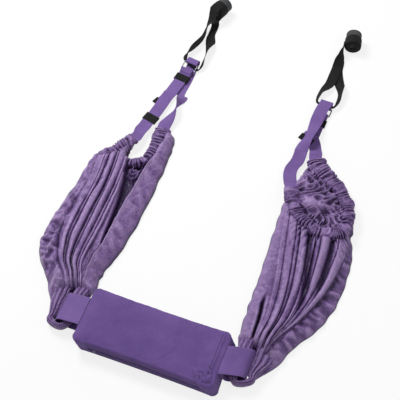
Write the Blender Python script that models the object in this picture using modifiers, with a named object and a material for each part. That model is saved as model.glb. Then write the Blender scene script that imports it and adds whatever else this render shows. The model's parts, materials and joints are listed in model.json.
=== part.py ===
"""A door-hung yoga and stretching swing, laid out flat on a table.

A foam back cushion in a zipped cover carries a wide webbing band at each end.
A gathered cloth sling is looped through each band. A purple webbing strap runs
through the sling's ruched hem and holds a black webbing loop with a foam barrel,
which is the stopper behind a closed door.

Units are metres, +Z is up, +Y points from the cushion to the door stoppers. The
origin is the centre of the cushion's underside.
"""
import math

import bmesh
import bpy
import numpy as np
from mathutils import Vector

# Cushion and its cover
CUSHION_LENGTH = 0.382
CUSHION_DEPTH = 0.158
CUSHION_HEIGHT = 0.050
CUSHION_CROWN = 0.005
CUSHION_CORNER = 0.016
SIDE_DRAW_IN = 0.0025
LEAN = 0.013
COVER_CLOTH = 0.0012
FOAM_PLAY = 0.0007
CROWN_SLACK = 0.0008
SEAM_DROP = 0.0025

# Zip in the front of the cover
ZIP_LENGTH = 0.290
ZIP_WIDTH = 0.0070
ZIP_THICKNESS = 0.0014
ZIP_HEIGHT = 0.026
SLIDER_LENGTH = 0.010
SLIDER_WALL = 0.0009
PULL_LENGTH = 0.018
PULL_WIDTH = 0.005

# Webbing
WEBBING_WIDTH = 0.038
WEBBING = 0.0018
BAND_WIDTH = 0.080
BAND_REACH = 0.067
ANCHOR_WIDTH = 0.032
CLEARANCE = 0.0003

# Adjusting ring, keeper, label and the end of the tail
RING_WIRE = 0.0036
RING_HEIGHT = 0.029
RING_SIDE_PLAY = 0.0012
KEEPER_WIDTH = 0.026
KEEPER_CLOTH = 0.0012
LABEL_LENGTH = 0.028
LABEL_CLOTH = 0.0008
TAIL_END_LENGTH = 0.022
TAIL_END_CLOTH = 0.0006

# Door stopper
BARREL_RADIUS = 0.024
BARREL_LENGTH = 0.054
BARREL_ROUNDING = 0.004
CORE_RADIUS = 0.007
CORE_RECESS = 0.001
WRAP_PLAY = 0.0005
CROSSBAR_WIDTH = 0.009

# Sling
PIVOT_OUT = 0.041
PIVOT_RADIUS = 0.062
PIVOT_GAP = 0.0006
HEM_PLAY = 0.0014
HEM_GAP = 0.0004
MOUTH_ROOM = 0.030
RUFFLE_DEPTH = 0.0022

BAND_ALONG = 0.005
BAND_TUCK = 0.0045
STRAP_LAYER = WEBBING + CLEARANCE

PURPLE_WEBBING = (0.190, 0.105, 0.370, 1.0)
PURPLE_CLOTH = (0.215, 0.130, 0.320, 1.0)
PURPLE_COVER = (0.160, 0.095, 0.300, 1.0)
BLACK_WEBBING = (0.012, 0.012, 0.013, 1.0)
FOAM_GREY = (0.055, 0.056, 0.058, 1.0)
FOAM_CREAM = (0.720, 0.660, 0.500, 1.0)
STEEL = (0.560, 0.570, 0.590, 1.0)


class Side:
    """One half of the swing: which way is outward, and where its parts lie.

    reach is the distance from the sling's pivot to the fold where the strap
    leaves the hem. The strap's length runs from that fold to the black loop.
    """

    def __init__(self, name, sign, skew, reach, strap_out, strap_length):
        self.name = name
        self.sign = sign
        self.skew = math.tan(math.radians(skew))
        self.reach = reach
        end = CUSHION_LENGTH / 2
        self.seam = Vector((sign * end, BAND_ALONG, CUSHION_HEIGHT - SEAM_DROP))
        along = BAND_ALONG + PIVOT_OUT * self.skew
        self.pivot = Vector((sign * (end + PIVOT_OUT), along, 0.0))
        self.strap = self.pivot + Vector((sign * strap_out, reach, 0.0))
        self.strap_length = strap_length


LEFT = Side("left", -1, 0, 0.645, 0.028, 0.263)
RIGHT = Side("right", 1, 17, 0.694, -0.036, 0.186)


def clear_scene():
    for item in list(bpy.data.objects):
        bpy.data.objects.remove(item)


def new_collection(name):
    found = bpy.data.collections.get(name) or bpy.data.collections.new(name)
    if name not in bpy.context.scene.collection.children:
        bpy.context.scene.collection.children.link(found)
    return found


def material(name, colour, roughness, metallic=0.0):
    found = bpy.data.materials.get(name) or bpy.data.materials.new(name)
    found.use_nodes = True
    shader = found.node_tree.nodes["Principled BSDF"]
    shader.inputs["Base Color"].default_value = colour
    shader.inputs["Roughness"].default_value = roughness
    shader.inputs["Metallic"].default_value = metallic
    return found


def joint_empty(name, place, parent=None):
    """An empty on a joint's axis, which carries the pieces that move with it."""
    empty = bpy.data.objects.new(name, None)
    empty.empty_display_size = 0.02
    empty.parent = parent
    empty.location = place - world_place(parent)
    new_collection("stretching_swing").objects.link(empty)
    return empty


def world_place(item):
    place = Vector((0.0, 0.0, 0.0))
    while item is not None:
        place = place + item.location
        item = item.parent
    return place


def add_piece(name, bm, parent, surface, smooth=True):
    """Turns a bmesh into a named object that hangs on its joint's empty."""
    bmesh.ops.recalc_face_normals(bm, faces=bm.faces)
    mesh = bpy.data.meshes.new(name)
    bm.to_mesh(mesh)
    bm.free()
    piece = bpy.data.objects.new(name, mesh)
    piece.parent = parent
    piece.data.materials.append(surface)
    new_collection("stretching_swing").objects.link(piece)
    if smooth:
        mesh.shade_smooth()
        mesh.set_sharp_from_angle(angle=math.radians(40))
    return piece


def add_cutter(name, bm, parent):
    cutter = add_piece(name, bm, parent, material("cutter", STEEL, 0.5), False)
    new_collection("stretching_swing").objects.unlink(cutter)
    new_collection("cutters").objects.link(cutter)
    cutter.hide_render = True
    cutter.display_type = "WIRE"
    return cutter


def cut(piece, cutter, operation="DIFFERENCE"):
    step = piece.modifiers.new(cutter.name, "BOOLEAN")
    step.operation = operation
    step.solver = "EXACT"
    step.object = cutter


def thicken(piece, thickness, offset=0.0):
    step = piece.modifiers.new("thickness", "SOLIDIFY")
    step.thickness = thickness
    step.offset = offset
    step.use_even_offset = False
    return step


def smooth_path(rows, steps, closed=False):
    """A Catmull-Rom curve through the rows, each taken as one vector."""
    rows = np.asarray(rows, float)
    count = len(rows)
    spans = count if closed else count - 1
    found = []
    for span in range(spans):
        picks = [span - 1, span, span + 1, span + 2]
        if closed:
            p = [rows[i % count] for i in picks]
        else:
            p = [rows[min(max(i, 0), count - 1)] for i in picks]
        for step in range(steps):
            t = step / steps
            found.append(
                0.5
                * (
                    2 * p[1]
                    + (p[2] - p[0]) * t
                    + (2 * p[0] - 5 * p[1] + 4 * p[2] - p[3]) * t**2
                    + (3 * p[1] - p[0] - 3 * p[2] + p[3]) * t**3
                )
            )
    if not closed:
        found.append(rows[-1])
    return np.array(found)


def unit(vectors):
    return vectors / np.linalg.norm(vectors, axis=-1, keepdims=True)


def tangents(points, closed=False):
    if closed:
        return unit(np.roll(points, -1, 0) - np.roll(points, 1, 0))
    return unit(np.gradient(points, axis=0))


def loft(bm, rings, cap_start=True, cap_end=True, joined=False):
    """Faces between rings of equally many points, with the two ends capped."""
    made = [[bm.verts.new(p) for p in ring] for ring in rings]
    count = len(made[0])
    pairs = list(zip(made, made[1:]))
    if joined:
        pairs.append((made[-1], made[0]))
    for low, high in pairs:
        for i in range(count):
            j = (i + 1) % count
            bm.faces.new((low[i], low[j], high[j], high[i]))
    if cap_start and not joined:
        bm.faces.new(made[0][::-1])
    if cap_end and not joined:
        bm.faces.new(made[-1])
    return made


def oval(count, power=2.4):
    """Points round a unit oval that is a little squarer than an ellipse."""
    turn = np.arange(count) * 2 * math.pi / count
    c, s = np.cos(turn), np.sin(turn)
    x = np.sign(c) * np.abs(c) ** (2 / power)
    y = np.sign(s) * np.abs(s) ** (2 / power)
    return np.stack([x, y], 1)


# Cushion


def cushion_outline(inset, points_long=7, points_short=3, points_corner=4):
    """The cushion's plan at one level: straight middles that draw in, and round corners."""
    hx = CUSHION_LENGTH / 2 - inset
    hy = CUSHION_DEPTH / 2 - inset
    corner = max(CUSHION_CORNER - inset, 0.003)
    outline = []
    centres = [(1, 1), (-1, 1), (-1, -1), (1, -1)]
    for quarter, (sx, sy) in enumerate(centres):
        cx, cy = sx * (hx - corner), sy * (hy - corner)
        for k in range(points_corner):
            turn = math.pi / 2 * (quarter + k / (points_corner - 1))
            outline.append((cx + corner * math.cos(turn), cy + corner * math.sin(turn)))
        nx, ny = centres[(quarter + 1) % 4]
        end = outline[-1]
        turn = math.pi / 2 * (quarter + 1)
        goal = (nx * (hx - corner), ny * (hy - corner))
        goal = (goal[0] + corner * math.cos(turn), goal[1] + corner * math.sin(turn))
        span = abs(goal[0] - end[0]) + abs(goal[1] - end[1])
        edge = 0.12
        count = points_short
        if quarter % 2 == 0:
            edge = max((span - ZIP_LENGTH) / 2 / span, 0.03)
            count = points_long
        for f in np.linspace(edge, 1 - edge, count):
            x = end[0] + (goal[0] - end[0]) * f - math.cos(turn) * SIDE_DRAW_IN
            y = end[1] + (goal[1] - end[1]) * f - math.sin(turn) * SIDE_DRAW_IN
            outline.append((x, y))
    return np.array(outline)


def cushion_levels(skin):
    """(inset, height) from the underside's middle, up the sides, to the crown.

    skin is the depth below the cover's outer surface, so that the same levels
    make the cover and, further in, the foam.
    """
    top = CUSHION_HEIGHT - skin - (CROWN_SLACK if skin else 0.0)
    low = skin
    zip_half = ZIP_WIDTH / 2 + CLEARANCE
    return [
        (0.045, low),
        (0.0085 + skin, low),
        (0.0030 + skin, low + 0.0018),
        (0.0008 + skin, low + 0.0062),
        (skin, ZIP_HEIGHT - zip_half),
        (skin, ZIP_HEIGHT + zip_half),
        (0.0004 + skin, top - 0.0100),
        (0.0014 + skin, top - 0.0036),
        (0.0044 + skin, top - 0.0006),
        (0.0200, top + 0.28 * CUSHION_CROWN),
        (0.0440, top + 0.78 * CUSHION_CROWN),
        (0.0640, top + 0.96 * CUSHION_CROWN),
    ]


def cushion_surface(bm, skin):
    rings = []
    for inset, height in cushion_levels(skin):
        outline = cushion_outline(inset)
        shift = leaning(height)
        rings.append([(x + shift, y, height) for x, y in outline])
    return loft(bm, rings)


ZIP_LOW, ZIP_HIGH = 4, 5


def zip_mouth(x, y):
    """True for points on the straight middle of the cover's front."""
    return abs(x - leaning(ZIP_HEIGHT)) < ZIP_LENGTH / 2 + 0.002 and y < 0


def leaning(height):
    """How far the cushion has shifted to the right at a height, from its top seam."""
    return LEAN * (1 - height / CUSHION_HEIGHT)


def front_face():
    """Where the cover's front lies at the zip, drawn in from the cushion's depth."""
    return -(CUSHION_DEPTH / 2 - SIDE_DRAW_IN)


def make_cushion(root):
    cover_cloth = material("cover_cloth", PURPLE_COVER, 0.9)
    bm = bmesh.new()
    rings = cushion_surface(bm, 0.0)
    mouth = []
    for a, b in zip(rings[ZIP_LOW], rings[ZIP_LOW][1:]):
        if zip_mouth(a.co.x, a.co.y) and zip_mouth(b.co.x, b.co.y):
            mouth.extend(f for f in a.link_faces if b in f.verts)
    high = set(rings[ZIP_HIGH])
    mouth = [f for f in mouth if any(v in high for v in f.verts)]
    bmesh.ops.delete(bm, geom=mouth, context="FACES")
    cover = add_piece("cushion_cover", bm, root, cover_cloth)
    thicken(cover, COVER_CLOTH, -1.0)

    bm = bmesh.new()
    cushion_surface(bm, COVER_CLOTH + FOAM_PLAY)
    add_piece("foam_core", bm, root, material("foam", FOAM_CREAM, 0.95))


def make_zip(root):
    """The zip's tape and teeth in the cover's mouth, and the slider that runs on them."""
    tape = material("zip_tape", PURPLE_COVER, 0.6)
    half = ZIP_WIDTH / 2 + CLEARANCE
    left = leaning(ZIP_HEIGHT - half) - ZIP_LENGTH / 2 + CLEARANCE
    right = leaning(ZIP_HEIGHT + half) + ZIP_LENGTH / 2 - CLEARANCE
    depth = front_face() + ZIP_THICKNESS / 2
    bm = bmesh.new()
    bmesh.ops.create_cube(bm, size=1.0)
    bmesh.ops.scale(bm, vec=(right - left, ZIP_THICKNESS, ZIP_WIDTH), verts=bm.verts)
    bmesh.ops.translate(
        bm, vec=((left + right) / 2, depth, ZIP_HEIGHT), verts=bm.verts
    )
    add_piece("zip_chain", bm, root, tape, False)

    start = left + 0.006 + SLIDER_LENGTH / 2
    face = front_face() - CLEARANCE
    slot = joint_empty(
        "slider_track", Vector((start, face, ZIP_HEIGHT)), root
    )
    bm = bmesh.new()
    bmesh.ops.create_cube(bm, size=1.0)
    height = ZIP_WIDTH * 0.9
    bmesh.ops.scale(bm, vec=(SLIDER_LENGTH, 2 * SLIDER_WALL, height), verts=bm.verts)
    bmesh.ops.translate(bm, vec=(0.0, -SLIDER_WALL, 0.0), verts=bm.verts)
    slider = add_piece("zip_slider", bm, slot, material("zip_metal", STEEL, 0.35, 1.0))
    soften = slider.modifiers.new("edges", "BEVEL")
    soften.width = SLIDER_WALL * 0.6
    soften.segments = 2

    bm = bmesh.new()
    bmesh.ops.create_cube(bm, size=1.0)
    bmesh.ops.scale(bm, vec=(PULL_WIDTH, SLIDER_WALL, PULL_LENGTH), verts=bm.verts)
    pull_face = -2 * SLIDER_WALL - CLEARANCE - SLIDER_WALL / 2
    drop = -PULL_LENGTH / 2 + height / 2 - SLIDER_WALL
    bmesh.ops.translate(bm, vec=(0.0, pull_face, drop), verts=bm.verts)
    pull = add_piece("zip_pull", bm, slot, material("zip_metal", STEEL, 0.35, 1.0))
    soften = pull.modifiers.new("edges", "BEVEL")
    soften.width = SLIDER_WALL * 0.4
    soften.segments = 2
    return right - start - SLIDER_LENGTH


# Bands and the cloth that is looped through them


def sheared(points, side):
    """Band coordinates (out, along, up) in X, Y, Z, slanted as the band leaves the seam."""
    points = np.array(points, float)
    points[..., 1] += points[..., 0] * side.skew
    points[..., 0] *= side.sign
    return points


def end_face_out(side, height):
    """How far the leaning end of the cushion stands out at a height."""
    return max(side.sign * leaning(height), 0.0)


def band_section(side):
    """The band's closed loop, (out, up) from the seam, over the sling and back under it."""
    seam = CUSHION_HEIGHT - SEAM_DROP
    floor = WEBBING / 2 + CLEARANCE - seam
    start = WEBBING / 2 + CLEARANCE
    fold = BAND_REACH
    seat = side.sign * leaning(seam) - SIDE_DRAW_IN
    return [
        (seat + 3 * CLEARANCE, -CLEARANCE),
        (start + 0.010, -0.0006),
        (start + 0.030, -0.0040),
        (fold - 0.014, -0.0090),
        (fold - 0.004, -0.0180),
        (fold, -0.0290),
        (fold - 0.003, -0.0390),
        (fold - 0.012, floor),
        (start + 0.034, floor),
        (start + 0.012 + end_face_out(side, 0.002), floor + 0.0002),
        (start + 0.004 + end_face_out(side, 0.006), floor + 0.0050),
        (start + 0.002 + end_face_out(side, 0.018), floor + 0.0160),
        (start + 0.0005 + end_face_out(side, 0.034), -0.0130),
        (start + 3 * CLEARANCE + seat + side.sign * LEAN * BAND_TUCK / seam, -BAND_TUCK),
    ]


def make_band(side, hinge):
    rows = []
    for out, up in band_section(side):
        rows.append((out, 0.0, up, 0.0, 1.0, 0.0, BAND_WIDTH))
    rows = np.array(rows)
    rows[:, :3] = sheared(rows[:, :3], side)
    rows = smooth_path(rows, 3, closed=True)
    rows[:, 2] = np.maximum(rows[:, 2], WEBBING / 2 + CLEARANCE - side.seam.z)
    surface = material("purple_webbing", PURPLE_WEBBING, 0.75)
    across = unit(rows[:, 3:6])
    name = f"{side.name}_band"
    return ribbon(name, rows[:, :3], across, rows[:, 6:7], hinge, surface, closed=True)


# (out from seam, along from the band's middle, up, width, height, direction in plan).
# The strand goes down through the band, turns round its outer corner and comes back.
BIGHT = [
    (0.037, 0.070, 0.0204, 0.036, 0.034, -90),
    (0.037, 0.045, 0.0204, 0.036, 0.034, -90),
    (0.037, 0.010, 0.0199, 0.036, 0.033, -90),
    (0.037, -0.022, 0.0184, 0.032, 0.030, -90),
    (0.043, -0.0460, 0.0175, 0.010, 0.028, -25),
    (0.061, -0.0495, 0.0160, 0.009, 0.025, 5),
    (0.078, -0.0405, 0.0150, 0.012, 0.024, 50),
    (0.0850, -0.012, 0.0150, 0.024, 0.025, 90),
    (0.0870, 0.012, 0.0150, 0.030, 0.026, 90),
    (0.0890, 0.050, 0.0150, 0.032, 0.027, 90),
]
BIGHT_PLEATS = 5


def pleated_oval(count, pleats, depth):
    ring = oval(count)
    wave = 1 + depth * np.cos(np.arange(count) * 2 * math.pi * pleats / count)
    return ring * wave[:, None]


def make_bight(side, hinge):
    rows = smooth_path(BIGHT, 3)
    ring = pleated_oval(20, BIGHT_PLEATS, 0.07)
    seam_height = CUSHION_HEIGHT - SEAM_DROP
    rings = []
    for out, along, up, width, height, heading in rows:
        turn = math.radians(heading)
        across = np.array((-math.sin(turn), math.cos(turn), 0.0))
        centre = np.array((out, along, up - seam_height))
        points = [
            centre + across * x * width / 2 + np.array((0, 0, y * height / 2))
            for x, y in ring
        ]
        rings.append(sheared(points, side))
    bm = bmesh.new()
    loft(bm, rings)
    bight = add_piece(
        f"{side.name}_sling_bight", bm, hinge, material("cloth", PURPLE_CLOTH, 0.5)
    )
    cut(bight, pivot_disc(side, hinge, PIVOT_RADIUS, "inner"), "INTERSECT")
    return bight


def pivot_disc(side, parent, radius, word):
    """A cylinder on the sling's pivot, which parts the swinging cloth from the bight."""
    bm = bmesh.new()
    bmesh.ops.create_cone(
        bm, cap_ends=True, segments=72, radius1=radius, radius2=radius, depth=0.3
    )
    offset = side.pivot - world_place(parent)
    bmesh.ops.translate(bm, vec=offset, verts=bm.verts)
    return add_cutter(f"{side.name}_{word}_pivot_disc", bm, parent)


# Sling cloth. Each row is (outer out, outer share, inner out, inner share): how far
# the outer and the inner edge stand out from the pivot, and their share of the reach.
CLOTH_LEFT = [
    (0.046, -0.030, -0.010, 0.060),
    (0.080, 0.050, -0.031, 0.112),
    (0.113, 0.122, -0.031, 0.162),
    (0.150, 0.186, -0.031, 0.206),
    (0.169, 0.248, -0.042, 0.280),
    (0.174, 0.305, -0.051, 0.342),
    (0.171, 0.442, -0.058, 0.474),
    (0.163, 0.566, -0.060, 0.612),
    (0.156, 0.660, -0.059, 0.738),
    (0.151, 0.737, -0.057, 0.830),
    (0.136, 0.786, -0.054, 0.907),
    (0.108, 0.842, -0.048, 0.961),
    (0.073, 0.900, -0.032, 0.984),
]
CLOTH_RIGHT = [
    (0.040, -0.038, -0.010, 0.023),
    (0.088, 0.051, -0.028, 0.094),
    (0.113, 0.141, -0.032, 0.135),
    (0.153, 0.235, -0.035, 0.208),
    (0.176, 0.328, -0.037, 0.288),
    (0.185, 0.416, -0.038, 0.379),
    (0.186, 0.510, -0.042, 0.481),
    (0.182, 0.589, -0.045, 0.581),
    (0.164, 0.671, -0.047, 0.685),
    (0.160, 0.724, -0.046, 0.764),
    (0.130, 0.819, -0.030, 0.844),
    (0.090, 0.883, -0.026, 0.903),
    (0.034, 0.962, -0.018, 0.968),
]

# Main folds: (share across at the band, share across at the hem, half width, rise)
FOLDS_LEFT = [
    (0.08, 0.10, 0.060, -0.0080),
    (0.24, 0.17, 0.050, 0.0035),
    (0.35, 0.26, 0.030, -0.0070),
    (0.45, 0.34, 0.035, 0.0070),
    (0.54, 0.41, 0.022, -0.0080),
    (0.62, 0.48, 0.030, 0.0090),
    (0.69, 0.555, 0.018, -0.0060),
    (0.745, 0.60, 0.022, 0.0060),
    (0.90, 0.88, 0.060, -0.0040),
]
FOLDS_RIGHT = [
    (0.10, 0.10, 0.060, -0.0110),
    (0.22, 0.24, 0.030, 0.0060),
    (0.31, 0.34, 0.022, -0.0080),
    (0.42, 0.44, 0.040, 0.0080),
    (0.53, 0.55, 0.022, -0.0090),
    (0.62, 0.66, 0.035, 0.0080),
    (0.72, 0.78, 0.020, -0.0070),
    (0.84, 0.90, 0.045, 0.0060),
]
CLOTH_BASE_LEFT = (0.028, 0.026, 0.030, 0.034)
CLOTH_BASE_RIGHT = (0.028, 0.030, 0.034, 0.018)
CLOTH_EDGE = 0.0045
POCKET_LEFT = (0.655, 0.055, 0.0300)
SLIT_RIGHT = (0.860, 0.035, 0.0170)


def bell(x, middle, half_width):
    return np.exp(-(((x - middle) / half_width) ** 2))


def ramp(x, low, high):
    t = np.clip((x - low) / (high - low), 0.0, 1.0)
    return t * t * (3 - 2 * t)


def cloth_height(side, s, t):
    """Height of the cloth's top: a rounded base, the main folds, and its pocket."""
    levels = CLOTH_BASE_LEFT if side is LEFT else CLOTH_BASE_RIGHT
    base = np.interp(t, (0.0, 0.35, 0.7, 1.0), levels)
    folds = FOLDS_LEFT if side is LEFT else FOLDS_RIGHT
    rise = np.zeros_like(s)
    for low, high, half_width, lift in folds:
        rise += lift * bell(s, low + (high - low) * t, half_width)
    round_edges = np.sqrt(1 - np.abs(2 * s - 1) ** 5)
    outer_slope = 0.42 + 0.58 * ramp(s, 0.0, 0.30)
    height = (base * outer_slope + rise) * round_edges
    if side is LEFT:
        middle, half_width, depth = POCKET_LEFT
        height -= depth * bell(s, middle, half_width) * ramp(t, 0.45, 0.70)
    else:
        middle, half_width, depth = SLIT_RIGHT
        slit = ramp(t, 0.10, 0.20) * (1 - ramp(t, 0.28, 0.42))
        height -= depth * bell(s, middle, half_width) * slit
        height -= 0.006 * ramp(t, 0.72, 0.80) * bell(s, 0.45, 0.30)
    return np.maximum(height, 0.0) + CLOTH_EDGE


def make_cloth(side, swing):
    """The sling's gathered body, as a closed solid that lies on the floor."""
    table = np.array(CLOTH_LEFT if side is LEFT else CLOTH_RIGHT)
    rows = smooth_path(table, 2)
    across = np.linspace(0.0, 1.0, 25)
    share = np.linspace(0.0, 1.0, len(rows))
    s, t = np.meshgrid(across, share)
    out = rows[:, 0:1] * (1 - s) + rows[:, 2:3] * s
    along = (rows[:, 1:2] * (1 - s) + rows[:, 3:4] * s) * side.reach
    top = np.stack([side.sign * out, along, cloth_height(side, s, t)], -1)
    bm = bmesh.new()
    grid = [[bm.verts.new(p) for p in line] for line in top]
    for low, high in zip(grid, grid[1:]):
        for i in range(len(across) - 1):
            bm.faces.new((low[i], low[i + 1], high[i + 1], high[i]))
    rim = grid[0] + [line[-1] for line in grid[1:]]
    rim += grid[-1][-2::-1] + [line[0] for line in grid[-2:0:-1]]
    foot = [bm.verts.new((v.co.x, v.co.y, 0.0)) for v in rim]
    for i in range(len(rim)):
        j = (i + 1) % len(rim)
        bm.faces.new((rim[i], rim[j], foot[j], foot[i]))
    bm.faces.new(foot)
    cloth = add_piece(
        f"{side.name}_sling_cloth", bm, swing, material("cloth", PURPLE_CLOTH, 0.5)
    )
    cut(cloth, pivot_disc(side, swing, PIVOT_RADIUS + PIVOT_GAP, "outer"))
    cut(cloth, hem_corridor(side, swing))
    if side is LEFT:
        cut(cloth, hem_opening(side, swing))
    return cloth


# Hem tunnel. Each row is (out, share of reach, up, width, height, webbing width,
# webbing tilt): the tunnel's middle and size, and how the webbing stands in it.
HEM_LEFT = [
    (0.0640, 0.922, 0.0200, 0.054, 0.020, 0.038, 0),
    (0.0760, 0.883, 0.0215, 0.050, 0.026, 0.034, 12),
    (0.1080, 0.835, 0.0205, 0.044, 0.030, 0.024, 30),
    (0.1290, 0.787, 0.0175, 0.034, 0.031, 0.019, 70),
    (0.1200, 0.755, 0.0160, 0.030, 0.029, 0.016, 90),
    (0.0850, 0.755, 0.0150, 0.029, 0.028, 0.016, 90),
    (0.0430, 0.763, 0.0150, 0.029, 0.028, 0.016, 90),
    (0.0140, 0.780, 0.0160, 0.030, 0.028, 0.016, 90),
    (-0.0020, 0.815, 0.0170, 0.032, 0.030, 0.018, 85),
    (-0.0050, 0.868, 0.0175, 0.036, 0.030, 0.022, 50),
    (-0.0050, 0.935, 0.0165, 0.044, 0.026, 0.028, 18),
    (-0.0030, 0.988, 0.0135, 0.052, 0.018, 0.038, 0),
]
HEM_RIGHT = [
    (-0.0400, 0.797, 0.0270, 0.0520, 0.0220, 0.0380, 0),
    (-0.0250, 0.748, 0.0280, 0.0440, 0.0280, 0.0260, 25),
    (-0.0060, 0.700, 0.0290, 0.0380, 0.0320, 0.0200, 60),
    (0.0220, 0.659, 0.0290, 0.0360, 0.0330, 0.0200, 90),
    (0.0600, 0.636, 0.0285, 0.0360, 0.0330, 0.0200, 90),
    (0.1000, 0.636, 0.0280, 0.0360, 0.0320, 0.0200, 90),
    (0.1320, 0.667, 0.0270, 0.0360, 0.0320, 0.0200, 90),
    (0.1400, 0.724, 0.0265, 0.0370, 0.0320, 0.0200, 90),
    (0.1220, 0.792, 0.0260, 0.0400, 0.0320, 0.0200, 90),
    (0.0860, 0.860, 0.0250, 0.042, 0.032, 0.022, 70),
    (0.0440, 0.905, 0.0240, 0.044, 0.030, 0.023, 35),
    (0.0150, 0.938, 0.0215, 0.047, 0.026, 0.029, 10),
    (0.0000, 0.968, 0.0190, 0.052, 0.022, 0.038, 0),
]
HEM_STEPS = 3
CHANNEL_STEPS = 6
HEM_SIDES = 10


def hem_rows(side, steps=HEM_STEPS):
    table = np.array(HEM_LEFT if side is LEFT else HEM_RIGHT, float)
    table[:, 1] *= side.reach
    return smooth_path(table, steps)


def hem_frames(side, rows):
    """The hem's middle line, its level side vector and its up vector in X, Y, Z."""
    centre = rows[:, :3].copy()
    centre[:, 0] *= side.sign
    along = tangents(centre)
    across = unit(np.cross(along, (0.0, 0.0, 1.0)))
    return centre, across, np.cross(across, along)


def hem_rings(side, rows, ruffles, grow):
    centre, across, up = hem_frames(side, rows)
    ring = oval(HEM_SIDES, 2.2)
    rings = []
    for k in range(len(rows)):
        wave = -ruffles * (k % 2)
        half_w = rows[k, 3] / 2 + wave + grow
        half_h = rows[k, 4] / 2 + wave + grow
        rings.append(
            [centre[k] + across[k] * x * half_w + up[k] * y * half_h for x, y in ring]
        )
    return rings


def channel_rings(side, rows):
    """The webbing's way through the tunnel: a slot that turns with the webbing."""
    centre, across, up = hem_frames(side, rows)
    rings = []
    for k in range(len(rows)):
        tilt = math.radians(rows[k, 6])
        wide = across[k] * math.cos(tilt) + up[k] * math.sin(tilt)
        thin = up[k] * math.cos(tilt) - across[k] * math.sin(tilt)
        half_w = rows[k, 5] / 2 + HEM_PLAY
        half_t = WEBBING / 2 + HEM_PLAY
        corners = [(1, 1), (-1, 1), (-1, -1), (1, -1)]
        rings.append(
            [centre[k] + wide * i * half_w + thin * j * half_t for i, j in corners]
        )
    return rings


def hem_corridor(side, swing):
    """A plain tube round the hem, a little larger, which the cloth is cut back from."""
    bm = bmesh.new()
    rings = [np.array(ring) for ring in hem_rings(side, hem_rows(side), 0.0, HEM_GAP)]
    centre, across, up = hem_frames(side, hem_rows(side))
    before = unit(centre[0] - centre[1]) * MOUTH_ROOM
    after = unit(centre[-1] - centre[-2]) * MOUTH_ROOM
    loft(bm, [rings[0] + before, *rings, rings[-1] + after])
    return add_cutter(f"{side.name}_hem_corridor", bm, swing)


# Beyond the left hem's crossing there is no cloth, so the floor shows between its mouths
HEM_CORNER = 4
BEYOND_HEM = [(-0.003, 1.05), (0.200, 1.05), (0.200, 0.735), (0.150, 0.742)]


def hem_opening(side, swing):
    bm = bmesh.new()
    border = [(row[0], row[1]) for row in HEM_LEFT[HEM_CORNER:]] + BEYOND_HEM
    low = [(side.sign * out, share * side.reach, -0.02) for out, share in border]
    high = [(x, y, 0.08) for x, y, z in low]
    loft(bm, [low, high])
    return add_cutter(f"{side.name}_hem_opening", bm, swing)


def make_hem(side, swing):
    """The ruched tunnel: an oval tube with ruffles along it and a slot through it."""
    rows = hem_rows(side)
    bm = bmesh.new()
    loft(bm, hem_rings(side, rows, RUFFLE_DEPTH, 0.0))
    hem = add_piece(
        f"{side.name}_hem_tunnel", bm, swing, material("cloth", PURPLE_CLOTH, 0.5)
    )
    bore = bmesh.new()
    slots = channel_rings(side, hem_rows(side, CHANNEL_STEPS))
    first = np.array(slots[0]) + (np.array(slots[0]) - np.array(slots[1])) * 2
    last = np.array(slots[-1]) + (np.array(slots[-1]) - np.array(slots[-2])) * 2
    loft(bore, [first, *slots, last])
    cut(hem, add_cutter(f"{side.name}_hem_channel", bore, swing))
    return hem


# Straps. Rows are (x, y, height, azimuth of the width, roll, width). X runs right and
# Y ahead from the fold at the hem, heights are above the floor, angles in degrees.


class Head:
    """The strap's far end: ring, keeper and bight, in a frame turned to its heading.

    The frame starts at the middle of the ring's top bar. face is 1 where the ring
    lies on top of the strap and -1 where the strap has been turned over.
    """

    def __init__(self, side, across, heading, face):
        turn = math.radians(heading)
        self.side = side
        self.place = Vector((across, side.strap_length, 0.0))
        self.ahead = Vector((math.sin(turn), math.cos(turn), 0.0))
        self.across = Vector((math.cos(turn), -math.sin(turn), 0.0))
        self.azimuth = -heading
        self.face = face
        low = CLEARANCE + WEBBING / 2
        wrap = RING_WIRE / 2 + CLEARANCE + WEBBING / 2
        eye = CROSSBAR_WIDTH / 2 + CLEARANCE + WEBBING / 2
        layers = [low, low + eye, low + 2 * eye, low + 2 * eye + wrap, low + 2 * eye + 2 * wrap]
        if face < 0:
            layers = [layers[-1] + low - height for height in layers]
        self.back, self.crossbar, self.tuck, self.bar, self.front = layers
        self.wrap = wrap

    def spot(self, across, ahead, height):
        return self.place + self.across * across + self.ahead * ahead + Vector((0, 0, height))

    def row(self, across, ahead, height, roll, width=WEBBING_WIDTH):
        return [*self.spot(across, ahead, height), self.azimuth, roll, width]

    def arc(self, ahead, height, radius, start, end, roll, steps=8):
        """Rows round a bar: angles run from ahead (0) to upward (90)."""
        rows = []
        for k in range(steps + 1):
            turn = math.radians(start + (end - start) * k / steps)
            q = ahead + radius * math.cos(turn)
            z = height + radius * math.sin(turn)
            rows.append(self.row(0.0, q, z, roll))
        return rows


HEAD_LEFT = Head(LEFT, 0.019, 9, 1)
HEAD_RIGHT = Head(RIGHT, 0.001, 2, -1)

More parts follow.
